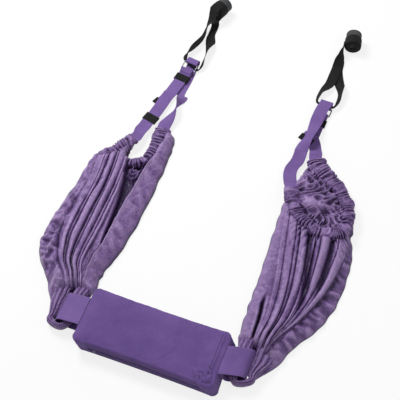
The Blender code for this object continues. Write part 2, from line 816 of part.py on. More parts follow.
FOLD_HEIGHT = {"left": 0.0130, "right": 0.0158}
OUTER_LEFT = [
    (-0.0300, 0.0002, 0.0121, 0, 0, 1.0),
    (-0.0265, 0.0130, 0.0121, -12, 0, 1.0),
    (-0.0225, 0.0280, 0.0121, -14, 0, 1.0),
    (-0.0188, 0.0420, 0.0120, -12, 0, 1.0),
    (-0.0115, 0.0800, 0.0100, -8, 0, 1.0),
    (-0.0060, 0.1150, 0.0085, -7, 0, 1.0),
]
INNER_LEFT = [
    (0.0300, 0.0002, 0.0121, 0, 0, 1.0),
    (0.0300, 0.0140, 0.0121, 0, 0, 1.0),
    (0.0360, 0.0350, 0.0126, 0, 20, 1.0),
    (0.0430, 0.0580, 0.0150, 0, 45, 0.90),
    (0.0470, 0.0800, 0.0170, 0, 75, 0.80),
    (0.0450, 0.0960, 0.0170, 0, 98, 0.78),
    (0.0420, 0.1120, 0.0150, 0, 128, 0.80),
    (0.0412, 0.1280, 0.0070, 0, 160, 0.84),
    (0.0354, 0.1395, 0.0015, 0, 178, 0.92),
]
TAIL_LEFT = [
    (-0.0050, 0.1330, 0.0042, -14, 0, 1.0),
    (-0.0210, 0.0850, 0.0024, -22, 0, 1.0),
]
OUTER_RIGHT = [
    (0.0260, 0.0002, 0.0149, 0, 0, 1.0),
    (0.0235, 0.0120, 0.0130, 5, 0, 1.0),
    (0.0180, 0.0280, 0.0045, 12, 0, 0.96),
    (0.0080, 0.0500, 0.0027, 12, 0, 1.0),
]
INNER_RIGHT = [
    (-0.0180, 0.0002, 0.0149, 0, 0, 1.0),
    (-0.0170, 0.0120, 0.0155, 0, 18, 0.96),
    (-0.0180, 0.0280, 0.0210, 0, 55, 0.80),
    (-0.0180, 0.0460, 0.0240, 0, 85, 0.74),
    (-0.0160, 0.0680, 0.0240, 0, 70, 0.78),
    (-0.0140, 0.0950, 0.0190, 0, 35, 0.90),
]
TAIL_RIGHT = [
    (-0.0200, 0.0460, 0.0070, -20, 0, 1.0),
]
STRAIGHT_RUN = {
    "left": (-0.126, -0.119, -0.095, -0.072, -0.046),
    "right": (-0.113, -0.105, -0.085, -0.066, -0.046),
}
TAIL_LEAVES = 0.004
TAIL_STRAIGHT = 0.030
BACK_SHIFT = {"left": (0.021, 0.014, 0.007, 0.002), "right": (-0.009, -0.007, -0.002)}
KEEPER_AHEAD = -0.060
RING_LIFT = math.radians(8)


def leg_rows(table, hinge_height):
    rows = np.array(table, float)
    rows[:, 5] *= WEBBING_WIDTH
    rows[:, 2] -= hinge_height
    return rows


def lowered(rows, hinge_height):
    rows = np.array(rows, float)
    rows[:, 2] -= hinge_height
    return rows


def posed_ribbon(name, rows, floor, parent, surface, thickness=WEBBING):
    """An open ribbon through rows of (x, y, z, azimuth, roll, width), kept off the floor."""
    roll = np.radians(rows[:, 4])
    reach = rows[:, 5] / 2 * np.abs(np.sin(roll)) + WEBBING / 2 * np.abs(np.cos(roll))
    centre = rows[:, :3].copy()
    centre[:, 2] = np.maximum(centre[:, 2], floor + CLEARANCE + reach)
    along = tangents(centre)
    turn = np.radians(rows[:, 3])
    level = np.stack([np.cos(turn), np.sin(turn), np.zeros(len(rows))], 1)
    rise = unit(np.cross(level, along))
    roll = roll[:, None]
    across = level * np.cos(roll) + rise * np.sin(roll)
    return ribbon(name, centre, across, rows[:, 5:6], parent, surface, thickness)


def ribbon(name, centre, across, width, parent, surface, thickness=WEBBING, closed=False):
    bm = bmesh.new()
    lines = []
    for shift in (-0.5, 0.5):
        lines.append([bm.verts.new(p) for p in centre + across * width * shift])
    last = len(centre) if closed else len(centre) - 1
    for i in range(last):
        j = (i + 1) % len(centre)
        bm.faces.new((lines[0][i], lines[0][j], lines[1][j], lines[1][i]))
    piece = add_piece(name, bm, parent, surface)
    thicken(piece, thickness)
    return piece


def bottom_bar(head):
    """Where the ring's bottom bar rests: its distance ahead and its height."""
    if head.face > 0:
        height = head.back + 2 * STRAP_LAYER + KEEPER_CLOTH + head.wrap
    else:
        height = head.bar
    drop = head.bar - height
    return -math.sqrt(RING_HEIGHT**2 - drop**2), height


def make_strap(side, head, fold, outer, inner, tail):
    """The two webbing legs: one round the ring's bottom bar, one through the bight."""
    name = side.name
    hinge = FOLD_HEIGHT[name]
    face = head.face
    surface = material("purple_webbing", PURPLE_WEBBING, 0.75)
    ahead, height = bottom_bar(head)
    lift = RING_HEIGHT * math.sin(RING_LIFT) + CLEARANCE / 2
    under = height - head.wrap
    over = height + lift + head.wrap
    near, far = (over, under) if face > 0 else (under, over)
    radius = (over - under) / 2
    middle = (over + under) / 2

    keeper_floor = KEEPER_CLOTH + CLEARANCE
    tail_height = head.back + STRAP_LAYER + keeper_floor
    if face < 0:
        tail_height = 2 * CLEARANCE + KEEPER_CLOTH + WEBBING / 2 + STRAP_LAYER
    leg_height = tail_height + face * STRAP_LAYER

    legs = list(smooth_path(leg_rows(outer, 0.0), 4))
    straight = STRAIGHT_RUN[name]
    run = [head.row(0, q, leg_height, 0) for q in straight]
    run.append(head.row(0, -0.0385, leg_height * 0.45 + near * 0.55, 0))
    run += head.arc(ahead, middle, radius, 90 * face, -90 * face, 0)
    run.append(head.row(0, -0.0385, tail_height * 0.6 + far * 0.4, 0))
    back = [*straight[:0:-1], straight[0] + TAIL_LEAVES]
    run += [head.row(0, q, tail_height, 0) for q in back]
    tail = leg_rows(tail, 0.0)
    turn = math.radians(tail[-1][3])
    before = tail[-1].copy()
    before[:2] += np.array((-math.sin(turn), math.cos(turn))) * TAIL_STRAIGHT
    end = list(smooth_path([run[-1], *tail[:-1], before], 4))[1:] + [tail[-1]]
    rows = lowered(legs + run + end, hinge)
    posed_ribbon(f"{name}_strap_tail_leg", rows, -hinge, fold, surface)

    shifts = BACK_SHIFT[name]
    roll = 180 if face > 0 else 0
    if face > 0:
        back = [head.back] * 4
        stops = (-0.112, -0.058, -0.020, 0.002)
    else:
        back = [0.0155, 0.0168, head.back]
        stops = (-0.058, -0.020, 0.002)
    middle = (head.back + head.front) / 2
    radius = abs(head.front - head.back) / 2
    crest = 0.012
    run = [head.row(s, q, z, roll) for s, q, z in zip(shifts, stops, back)]
    run = list(smooth_path([*leg_rows(inner, 0.0), *run], 4))
    run += head.arc(crest, middle, radius, -90 * face, 90 * face, roll, 12)
    run += head.arc(0.0, head.bar, head.wrap, 90 * face, 270 * face, roll)
    run.append(head.row(0, 0.010, head.tuck, roll))
    posed_ribbon(f"{name}_strap_bight_leg", lowered(run, hinge), -hinge, fold, surface)
    return leg_height, tail_height, end[-1]


def make_ring(side, head, fold):
    """The rectangular wire ring, which tips on its top bar inside the strap's fold."""
    name = side.name
    place = head.spot(0, 0, head.bar) - Vector((0, 0, FOLD_HEIGHT[name]))
    pin = joint_empty(f"{name}_ring_bar", world_place(fold) + place, fold)
    ahead, height = bottom_bar(head)
    down = (Vector((0, 0, height - head.bar)) + head.ahead * ahead).normalized()
    half = WEBBING_WIDTH / 2 + RING_SIDE_PLAY + RING_WIRE / 2
    corner = RING_WIRE * 1.1
    centres = []
    for sx, low in ((1, 0), (-1, 0), (-1, 1), (1, 1)):
        start = {(1, 0): 0, (-1, 0): 90, (-1, 1): 180, (1, 1): 270}[(sx, low)]
        for k in range(4):
            turn = math.radians(start + 30 * k)
            x = sx * (half - corner) + corner * math.cos(turn)
            y = -corner if not low else -(RING_HEIGHT - corner)
            centres.append((x, y + corner * math.sin(turn)))
    centres = np.array(centres)
    flat = np.array([head.across * x - down * y for x, y in centres])
    along = tangents(flat, closed=True)
    normal = np.array(head.across.cross(down).normalized())
    bm = bmesh.new()
    rings = []
    for point, way in zip(flat, along):
        out = np.cross(way, normal)
        circle = []
        for k in range(10):
            turn = 2 * math.pi * k / 10
            circle.append(point + (out * math.cos(turn) + normal * math.sin(turn)) * RING_WIRE / 2)
        rings.append(circle)
    loft(bm, rings, joined=True)
    add_piece(f"{name}_ring", bm, pin, material("ring_metal", STEEL, 0.3, 1.0))


def slot_sleeve(name, centre, across, along, half_height, length, parent, surface, thickness):
    """A loop of cloth round a flat strap: its section is a slot with round ends."""
    up = across.cross(along).normalized()
    rows = []
    for end in (1, -1):
        for k in range(7):
            turn = math.pi * (k / 6 - 0.5)
            reach = end * (WEBBING_WIDTH / 2 + half_height * math.cos(turn))
            rows.append(centre + across * reach + up * (end * half_height * math.sin(turn)))
    centres = np.array(rows)
    sides = np.tile(np.array(along), (len(rows), 1))
    return ribbon(name, centres, sides, length, parent, surface, thickness, closed=True)


def make_trims(side, head, fold, leg_height, tail_height, tail_end, outer):
    """The keeper that slides on the strap, the tail's black end and the left label."""
    name = side.name
    hinge = Vector((0, 0, FOLD_HEIGHT[name]))
    black = material("black_webbing", BLACK_WEBBING, 0.8)
    place = head.spot(0, KEEPER_AHEAD, (leg_height + tail_height) / 2) - hinge
    slide = joint_empty(f"{name}_keeper_slide", world_place(fold) + place, fold)
    half = (STRAP_LAYER + WEBBING) / 2 + CLEARANCE + KEEPER_CLOTH / 2
    zero = Vector((0, 0, 0))
    slot_sleeve(
        f"{name}_keeper", zero, head.across, head.ahead, half, KEEPER_WIDTH, slide, black, KEEPER_CLOTH
    )

    turn = math.radians(tail_end[3])
    across = Vector((math.cos(turn), math.sin(turn), 0.0))
    along = Vector((-math.sin(turn), math.cos(turn), 0.0))
    centre = Vector(tail_end[:3]) - hinge + along * (TAIL_END_LENGTH / 2 - 0.004)
    half = WEBBING / 2 + CLEARANCE + TAIL_END_CLOTH / 2
    slot_sleeve(
        f"{name}_tail_end", centre, across, along, half, TAIL_END_LENGTH, fold, black, TAIL_END_CLOTH
    )
    if side is LEFT:
        first, last = Vector(outer[1][:3]), Vector(outer[2][:3])
        along = (last - first).normalized()
        across = Vector((along.y, -along.x, 0.0)).normalized()
        half = WEBBING / 2 + CLEARANCE + LABEL_CLOTH / 2
        slot_sleeve(
            "left_label_patch",
            (first + last) / 2 - hinge,
            across,
            along,
            half,
            LABEL_LENGTH,
            fold,
            black,
            LABEL_CLOTH,
        )


def make_hem_webbing(side, swing, outer, inner):
    """The webbing inside the hem, with the two lengths that come out of its mouths."""
    rows = hem_rows(side, CHANNEL_STEPS)
    centre, across, up = hem_frames(side, rows)
    tilt = np.radians(rows[:, 6])[:, None]
    wide = across * np.cos(tilt) + up * np.sin(tilt)
    width = rows[:, 5:6]
    offset = side.strap - side.pivot
    starts, ends = [], []
    for way, table in ((starts, outer), (ends, inner)):
        for x, y, z, azimuth, size in table:
            turn = math.radians(azimuth)
            way.append([offset.x + x, offset.y + y, z, math.cos(turn), math.sin(turn), 0.0, size])
    body = np.hstack([centre, wide, width])
    starts, ends = np.array(starts), np.array(ends)
    outside = []
    for mouth, inner_row, nearest in ((0, 1, starts[-1]), (-1, -2, ends[0])):
        row = body[mouth].copy()
        step = min(0.014, 0.4 * np.linalg.norm(nearest[:3] - row[:3]))
        row[:3] += unit(row[:3] - body[inner_row][:3]) * step
        outside.append(row)
    lead = smooth_path(np.vstack([starts, outside[:1]]), 4)
    tail = smooth_path(np.vstack([outside[1:], ends]), 4)
    whole = np.vstack([lead, body, tail])
    surface = material("purple_webbing", PURPLE_WEBBING, 0.75)
    ribbon(
        f"{side.name}_hem_webbing", whole[:, :3], unit(whole[:, 3:6]), whole[:, 6:7], swing, surface
    )


# How the hem's webbing reaches the fold: (x, y, height, azimuth, width)
LEAD_LEFT = [
    (-0.0300, -0.0002, 0.0121, 180, WEBBING_WIDTH),
    (-0.0320, -0.0170, 0.0140, 175, WEBBING_WIDTH),
    (-0.0345, -0.0330, 0.0175, 166, WEBBING_WIDTH),
]
EXIT_LEFT = [
    (0.0300, -0.0002, 0.0121, 0, WEBBING_WIDTH),
]
LEAD_RIGHT = [
    (-0.0180, -0.0002, 0.0149, 180, WEBBING_WIDTH),
    (-0.0210, -0.0150, 0.0135, 172, WEBBING_WIDTH),
    (-0.0290, -0.0400, 0.0090, 166, WEBBING_WIDTH),
    (-0.0310, -0.0680, 0.0070, 180, WEBBING_WIDTH),
    (-0.0240, -0.0950, 0.0120, 195, WEBBING_WIDTH),
    (-0.0130, -0.1220, 0.0210, 203, WEBBING_WIDTH),
]
EXIT_RIGHT = [
    (0.0290, -0.0100, 0.0160, 18, WEBBING_WIDTH),
    (0.0260, -0.0002, 0.0149, 0, WEBBING_WIDTH),
]

# Black loops. Rows are (x, y, height, azimuth, roll, share of the width), from the
# middle of the crossbar that lies in the strap's bight.
ANCHOR_LEFT = [
    (0.0010, 0.2300, 0.0012, 160, 0, 1.0),
    (-0.0020, 0.2170, 0.0012, 160, 0, 1.0),
    (0.0040, 0.2000, 0.0012, 170, 0, 0.90),
    (0.0090, 0.1780, 0.0024, 175, 6, 0.75),
    (0.0110, 0.1500, 0.0046, 180, 14, 0.70),
    (0.0170, 0.1220, 0.0042, 180, 8, 1.0),
    (0.0230, 0.0940, 0.0085, 180, -35, 0.90),
    (0.0255, 0.0600, 0.0140, 180, -75, 0.80),
    (0.0270, 0.0320, 0.0130, 175, -70, 0.65),
    (0.0290, 0.0080, 0.0095, 150, -40, 0.45),
    (0.0240, -0.0100, 0.0069, 90, -10, 0.31),
]
ANCHOR_LEFT_BACK = [
    (-0.0310, 0.0210, 0.0085, 25, 20, 0.40),
    (-0.0320, 0.0400, 0.0130, 5, 65, 0.70),
    (-0.0270, 0.0640, 0.0160, 0, 88, 0.94),
    (-0.0180, 0.1090, 0.0160, 0, 90, 0.94),
    (-0.0140, 0.1460, 0.0165, 0, 88, 0.92),
    (-0.0090, 0.1700, 0.0180, -10, 55, 0.85),
    (-0.0050, 0.1880, 0.0250, -15, 15, 0.85),
    (-0.0045, 0.2010, 0.0380, -20, 0, 0.95),
    (-0.0035, 0.2120, 0.0500, -20, 0, 1.0),
    (0.0000, 0.2220, 0.0532, -20, 0, 1.0),
    (0.0030, 0.2300, 0.0534, -20, 0, 1.0),
]
ANCHOR_RIGHT = [
    (-0.0147, 0.2486, 0.0200, 190, 90, 1.0),
    (-0.0119, 0.2328, 0.0200, 190, 90, 1.0),
    (-0.0118, 0.2120, 0.0165, 186, 65, 0.95),
    (-0.0080, 0.1880, 0.0080, 183, 25, 0.95),
    (-0.0065, 0.1600, 0.0016, 180, 0, 1.0),
    (0.0020, 0.1350, 0.0014, 180, 0, 1.0),
    (0.0140, 0.1040, 0.0040, 180, -10, 1.0),
    (0.0250, 0.0760, 0.0100, 180, -50, 0.90),
    (0.0300, 0.0500, 0.0115, 175, -60, 0.70),
    (0.0310, 0.0240, 0.0125, 150, -30, 0.45),
    (0.0255, 0.0020, 0.0129, 100, 0, 0.31),
]
ANCHOR_RIGHT_BACK = [
    (-0.0300, 0.0120, 0.0125, 60, 20, 0.40),
    (-0.0290, 0.0400, 0.0100, 15, 45, 0.70),
    (-0.0200, 0.0660, 0.0085, -5, 20, 0.90),
    (-0.0120, 0.0930, 0.0065, -5, 5, 0.95),
    (-0.0100, 0.1350, 0.0045, 0, 0, 1.0),
    (-0.0095, 0.1600, 0.0052, 0, 0, 1.0),
    (-0.0105, 0.1880, 0.0135, 2, -25, 0.95),
    (-0.0085, 0.2120, 0.0185, 6, -65, 0.95),
    (-0.0107, 0.2326, 0.0200, 10, -90, 1.0),
    (-0.0137, 0.2484, 0.0200, 10, -90, 1.0),
]


class Anchor:
    """A black loop and its barrel: crossbar offset and azimuth, barrel place and azimuth."""

    def __init__(self, across, ahead, azimuth, barrel, barrel_azimuth, out, back):
        self.across = across
        self.ahead = ahead
        self.azimuth = azimuth
        self.barrel = barrel
        self.barrel_azimuth = math.radians(barrel_azimuth)
        self.out = out
        self.back = back


SLEEVE_RADIUS = BARREL_RADIUS + WRAP_PLAY
BARREL_HEIGHT = SLEEVE_RADIUS + WEBBING + CLEARANCE
LOOP_LEFT = Anchor(0.003, -0.002, 153.4, (0.0075, 0.2475), 70, ANCHOR_LEFT, ANCHOR_LEFT_BACK)
LOOP_RIGHT = Anchor(0.000, 0.004, 177, (0.0100, 0.2700), 100, ANCHOR_RIGHT, ANCHOR_RIGHT_BACK)


def tube(bm, outer, inner, start, end, rounding, count=26):
    """A hollow cylinder along X between two stations, with rounded outer edges."""
    section = []
    for k in range(4):
        turn = math.radians(30 * k)
        section.append((end - rounding + rounding * math.sin(turn), outer - rounding + rounding * math.cos(turn)))
    near = [(start + end - x, r) for x, r in reversed(section)]
    profile = [(start, inner), *near, *section, (end, inner)]
    rings = []
    for k in range(count):
        turn = 2 * math.pi * k / count
        rings.append([(x, r * math.cos(turn), r * math.sin(turn)) for x, r in profile])
    loft(bm, rings, joined=True)


def cup(bm, count=26):
    """The sewn sleeve round the barrel's near end, closed behind it, along X."""
    near = -BARREL_LENGTH / 2 - WRAP_PLAY - WEBBING
    rim = near + ANCHOR_WIDTH
    outer = SLEEVE_RADIUS + WEBBING
    soft = BARREL_ROUNDING
    profile = [(near, CORE_RADIUS)]
    for k in range(4):
        turn = math.radians(30 * k)
        profile.append((near + soft - soft * math.cos(turn), outer - soft + soft * math.sin(turn)))
    profile += [(rim, outer), (rim, SLEEVE_RADIUS)]
    inner_soft = soft - WEBBING
    for k in range(4):
        turn = math.radians(90 - 30 * k)
        x = near + soft - inner_soft * math.cos(turn)
        profile.append((x, SLEEVE_RADIUS - inner_soft + inner_soft * math.sin(turn)))
    profile.append((near + WEBBING, CORE_RADIUS))
    rings = []
    for x, r in profile:
        turns = [2 * math.pi * k / count for k in range(count)]
        rings.append([(x, r * math.cos(t), r * math.sin(t)) for t in turns])
    loft(bm, rings)


def bundle(bm, way, count=12):
    """The webbing where it is bunched into a round bundle inside the strap's bight."""
    full = CROSSBAR_WIDTH / 2
    way = np.array((*way, 0.0))
    level = np.array((-way[1], way[0], 0.0))
    rings = []
    for reach, share in BUNDLE:
        turns = [2 * math.pi * k / count for k in range(count)]
        circle = [
            way * reach + (level * math.cos(t) + np.array((0, 0, math.sin(t)))) * full * share
            for t in turns
        ]
        rings.append(circle)
    loft(bm, rings)


# (distance along the bundle from its middle, share of its full radius)
BUNDLE = [(-0.025, 0.30), (-0.019, 0.75), (-0.012, 1.0), (0.012, 1.0), (0.019, 0.75), (0.025, 0.30)]


def make_anchor(side, head, fold, anchor):
    """The black webbing loop, sewn into a sleeve that holds the foam barrel."""
    name = side.name
    drop = Vector((0, 0, FOLD_HEIGHT[name]))
    spot = head.spot(anchor.across, anchor.ahead, head.crossbar)
    pin = joint_empty(f"{name}_crossbar", world_place(fold) + spot - drop, fold)
    turn = math.radians(anchor.azimuth)
    way = np.array((math.cos(turn), math.sin(turn)))
    bar = []
    for reach in (-0.018, -0.009, 0.0, 0.009, 0.018, 0.025):
        x, y = way * reach
        bar.append((x, y, head.crossbar, anchor.azimuth - 90, 0, CROSSBAR_WIDTH / ANCHOR_WIDTH))
    rows = np.array([*anchor.out, *bar, *anchor.back])
    rows[:, 5] *= ANCHOR_WIDTH
    rows[:, 2] -= head.crossbar
    black = material("black_webbing", BLACK_WEBBING, 0.8)
    rows = smooth_path(rows, 2)
    loop = posed_ribbon(f"{name}_anchor_webbing", rows, -head.crossbar, pin, black)

    bm = bmesh.new()
    bundle(bm, way)
    cut(loop, add_cutter(f"{name}_bundle", bm, pin), "UNION")

    x, y = anchor.barrel
    middle = Vector((x, y, BARREL_HEIGHT - head.crossbar))
    axle = joint_empty(f"{name}_barrel_axis", world_place(pin) + middle, pin)
    turned_to = (0.0, 0.0, anchor.barrel_azimuth)
    bm = bmesh.new()
    cup(bm)
    sleeve = add_cutter(f"{name}_sleeve", bm, axle)
    sleeve.rotation_euler = turned_to
    cut(loop, sleeve, "UNION")
    loop.modifiers[-1].use_self = True

    bm = bmesh.new()
    bore = CORE_RADIUS + CLEARANCE
    tube(bm, BARREL_RADIUS, bore, -BARREL_LENGTH / 2, BARREL_LENGTH / 2, BARREL_ROUNDING)
    foam = add_piece(f"{name}_barrel_foam", bm, axle, material("barrel_foam", FOAM_GREY, 0.9))
    foam.rotation_euler = turned_to

    bm = bmesh.new()
    bmesh.ops.create_cone(
        bm,
        cap_ends=True,
        segments=24,
        radius1=CORE_RADIUS,
        radius2=CORE_RADIUS,
        depth=BARREL_LENGTH - 2 * CORE_RECESS,
    )
    core = add_piece(f"{name}_barrel_core", bm, axle, material("core", BLACK_WEBBING, 0.4))
    core.rotation_euler = (0.0, math.pi / 2, anchor.barrel_azimuth)


def make_side(side, head, root, tables, anchor):
    outer, inner, tail, lead, exit_rows = tables
    hinge = joint_empty(f"{side.name}_band_hinge", side.seam, root)
    make_band(side, hinge)
    make_bight(side, hinge)
    swing = joint_empty(f"{side.name}_sling_pivot", side.pivot, hinge)
    make_cloth(side, swing)
    make_hem(side, swing)
    make_hem_webbing(side, swing, lead, exit_rows)
    fold_place = side.strap + Vector((0, 0, FOLD_HEIGHT[side.name]))
    fold = joint_empty(f"{side.name}_strap_fold", fold_place, swing)
    leg_height, tail_height, tail_end = make_strap(side, head, fold, outer, inner, tail)
    make_ring(side, head, fold)
    make_trims(side, head, fold, leg_height, tail_height, tail_end, outer)
    make_anchor(side, head, fold, anchor)


def main():
    clear_scene()
    root = joint_empty("swing_root", Vector((0.0, 0.0, 0.0)))
    make_cushion(root)
    make_zip(root)
    left = (OUTER_LEFT, INNER_LEFT, TAIL_LEFT, LEAD_LEFT, EXIT_LEFT)
    right = (OUTER_RIGHT, INNER_RIGHT, TAIL_RIGHT, LEAD_RIGHT, EXIT_RIGHT)
    make_side(LEFT, HEAD_LEFT, root, left, LOOP_LEFT)
    make_side(RIGHT, HEAD_RIGHT, root, right, LOOP_RIGHT)
    bpy.context.view_layer.update()


main()
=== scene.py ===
"""A door-hung yoga and stretching swing laid out flat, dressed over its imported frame.

The cushion in its zipped cover, the gathered slings with their ruched hems, the
purple webbing, the ring, the black loops and the foam stoppers are each worked out
as surfaces on grids, in metres, where the frame says its parts are.
"""
import json
import math

import bmesh
import bpy
import numpy as np
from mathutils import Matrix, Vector
from mathutils.kdtree import KDTree

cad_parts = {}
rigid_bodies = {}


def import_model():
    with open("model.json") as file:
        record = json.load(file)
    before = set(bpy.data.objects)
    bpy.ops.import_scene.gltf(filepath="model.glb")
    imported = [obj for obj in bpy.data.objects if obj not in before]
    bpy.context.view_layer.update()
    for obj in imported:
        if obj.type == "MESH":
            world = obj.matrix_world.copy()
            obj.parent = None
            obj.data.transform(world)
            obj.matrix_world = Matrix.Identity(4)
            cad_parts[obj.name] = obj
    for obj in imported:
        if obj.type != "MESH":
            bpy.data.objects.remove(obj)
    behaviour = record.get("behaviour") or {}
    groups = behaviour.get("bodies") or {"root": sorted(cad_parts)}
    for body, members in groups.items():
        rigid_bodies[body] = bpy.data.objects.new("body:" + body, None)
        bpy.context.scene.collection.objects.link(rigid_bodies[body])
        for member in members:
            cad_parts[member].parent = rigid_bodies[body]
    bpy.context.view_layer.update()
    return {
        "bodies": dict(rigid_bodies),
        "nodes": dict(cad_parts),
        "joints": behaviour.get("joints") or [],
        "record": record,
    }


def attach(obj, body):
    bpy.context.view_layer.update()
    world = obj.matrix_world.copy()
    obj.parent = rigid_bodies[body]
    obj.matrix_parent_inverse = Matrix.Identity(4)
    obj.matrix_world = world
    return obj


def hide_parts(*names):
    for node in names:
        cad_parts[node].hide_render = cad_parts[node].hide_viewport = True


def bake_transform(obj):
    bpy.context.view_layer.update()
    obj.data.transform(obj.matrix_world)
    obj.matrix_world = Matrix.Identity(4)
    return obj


bl_info = {
    "name": "Stretching swing",
    "version": (1, 0, 0),
    "blender": (4, 5, 0),
    "location": "View3D > Sidebar > Swing",
    "description": "Builds the cloth, webbing, foam and stage of a door-hung stretching swing",
    "category": "Object",
}

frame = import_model()
JOINTS = {joint["name"]: joint for joint in frame["joints"]}

WEBBING = 0.0018
WEBBING_WIDTH = 0.038
BAND_WIDTH = 0.080
ANCHOR_WIDTH = 0.032
CLEARANCE = 0.0003
STRAP_LAYER = WEBBING + CLEARANCE
RING_WIRE = 0.0036
RING_HEIGHT = 0.029
RING_TIP = 8
CROSSBAR_WIDTH = 0.009
KEEPER_CLOTH = 0.0012
KEEPER_LENGTH = 0.026
KEEPER_PLACE = -0.060
BINDING_CLOTH = 0.0006
BINDING_LENGTH = 0.022
PATCH_CLOTH = 0.0008
PATCH_LENGTH = 0.028
PATCH_SEAM = 0.0118
BARREL_RADIUS = 0.024
BARREL_LENGTH = 0.054
BARREL_EDGE = 0.004
CORE_RADIUS = 0.007


class Side:
    """One half of the swing, with the places that the frame's joints give."""

    def __init__(self, name, sign, skew, reach, strap_length):
        self.name = name
        self.sign = sign
        self.skew = math.tan(math.radians(skew))
        self.reach = reach
        self.strap_length = strap_length
        self.seam = self.joint("band_fold")
        self.pivot = self.joint("sling_swing")
        self.fold = self.joint("strap_fold")
        self.ring = self.joint("ring_tip")
        self.cross = self.joint("anchor_fold")
        self.axle = self.joint("barrel_spin")
        self.spin = np.array(JOINTS[f"{name}_barrel_spin"]["axis"], float)

    def joint(self, word):
        return np.array(JOINTS[f"{self.name}_{word}"]["pos_m"], float)

    def body(self, word):
        return f"{self.name}_{word}"


LEFT = Side("left", -1, 0, 0.645, 0.263)
RIGHT = Side("right", 1, 17, 0.694, 0.186)
SIDES = (LEFT, RIGHT)


# Curves and grids


def catmull(rows, steps, closed=False):
    """A Catmull-Rom curve: each span blends its four nearest rows with cubic weights."""
    rows = np.asarray(rows, float)
    ends = (rows[-1:], rows[:2]) if closed else (rows[:1], rows[-1:])
    p = np.concatenate([ends[0], rows, ends[1]])
    t = np.arange(steps) / steps
    weights = 0.5 * np.stack(
        [
            -t + 2 * t**2 - t**3,
            2 - 5 * t**2 + 3 * t**3,
            t + 4 * t**2 - 3 * t**3,
            -(t**2) + t**3,
        ],
        1,
    )
    spans = len(p) - 3
    near = np.stack([p[i : i + spans] for i in range(4)], 1)
    made = np.einsum("sa,pak->psk", weights, near).reshape(-1, rows.shape[1])
    return made if closed else np.concatenate([made, rows[-1:]])


def unit(vectors):
    return vectors / np.maximum(np.linalg.norm(vectors, axis=-1, keepdims=True), 1e-12)


def tangents(points, closed=False):
    if closed:
        return unit(np.roll(points, -1, 0) - np.roll(points, 1, 0))
    return unit(np.gradient(points, axis=0))


def lengths(points):
    """Distance along a path, from its first point to each of its points."""
    steps = np.linalg.norm(np.diff(points, axis=0), axis=1)
    return np.concatenate([[0.0], np.cumsum(steps)])


def ramp(x, low, high):
    """0 below low, 1 above high, and a smooth cubic step between them."""
    t = np.clip((x - low) / (high - low), 0.0, 1.0)
    return t * t * (3 - 2 * t)


def bell(x, middle, half_width):
    return np.exp(-(((x - middle) / half_width) ** 2))


def circle(count):
    """Angles in equal steps round a circle."""
    return np.linspace(0, 2 * math.pi, count, endpoint=False)


def oval(turn, power):
    """Points round a unit circle whose sides are flattened by a power below 1."""
    flat = np.stack([np.cos(turn), np.sin(turn)], 1)
    return np.sign(flat) * np.abs(flat) ** power


def wave(phase):
    """1 at each whole turn of a phase and 0 half-way between them."""
    return 0.5 + 0.5 * np.cos(phase)


def ripple(x, y, seed, size, waves=7):
    """Smooth noise from about -1 to 1: plane waves of about one size at random angles."""
    rng = np.random.default_rng(seed)
    total = 0.0
    for turn, scale, phase in rng.uniform(0, 1, (waves, 3)):
        turn = 2 * math.pi * turn
        pitch = 2 * math.pi / (size * (0.6 + scale))
        total = total + np.sin(
            (x * math.cos(turn) + y * math.sin(turn)) * pitch + 2 * math.pi * phase
        )
    return total / (0.75 * math.sqrt(2 * waves))


def creases(x, y, seed, size):
    """Sharp ridges between shallow bowls: 1 where smooth noise passes through 0."""
    return 1 - np.sqrt(np.abs(ripple(x, y, seed, size)))


def crumples(x, y, seed, size, turns=(0.0, math.pi), waves=6):
    """Flat facets between sharp creases: triangle waves that bend, and fade in and out."""
    rng = np.random.default_rng(seed)
    total = 0.0
    for k in range(waves):
        turn, scale, phase = rng.uniform((turns[0], 0.6, 0.0), (turns[1], 1.5, 1.0))
        across = x * math.cos(turn) + y * math.sin(turn)
        along = y * math.cos(turn) - x * math.sin(turn)
        bend = 0.35 * size * ripple(x, y, seed + 10 + k, 2.2 * size)
        fade = ramp(ripple(across, along * 0.5, seed + 40 + k, 1.6 * size), -0.2, 0.7)
        share = ((across + bend) / (size * scale) + phase) % 1.0
        total = total + np.abs(2 * share - 1) * fade
    return total / (0.35 * waves)


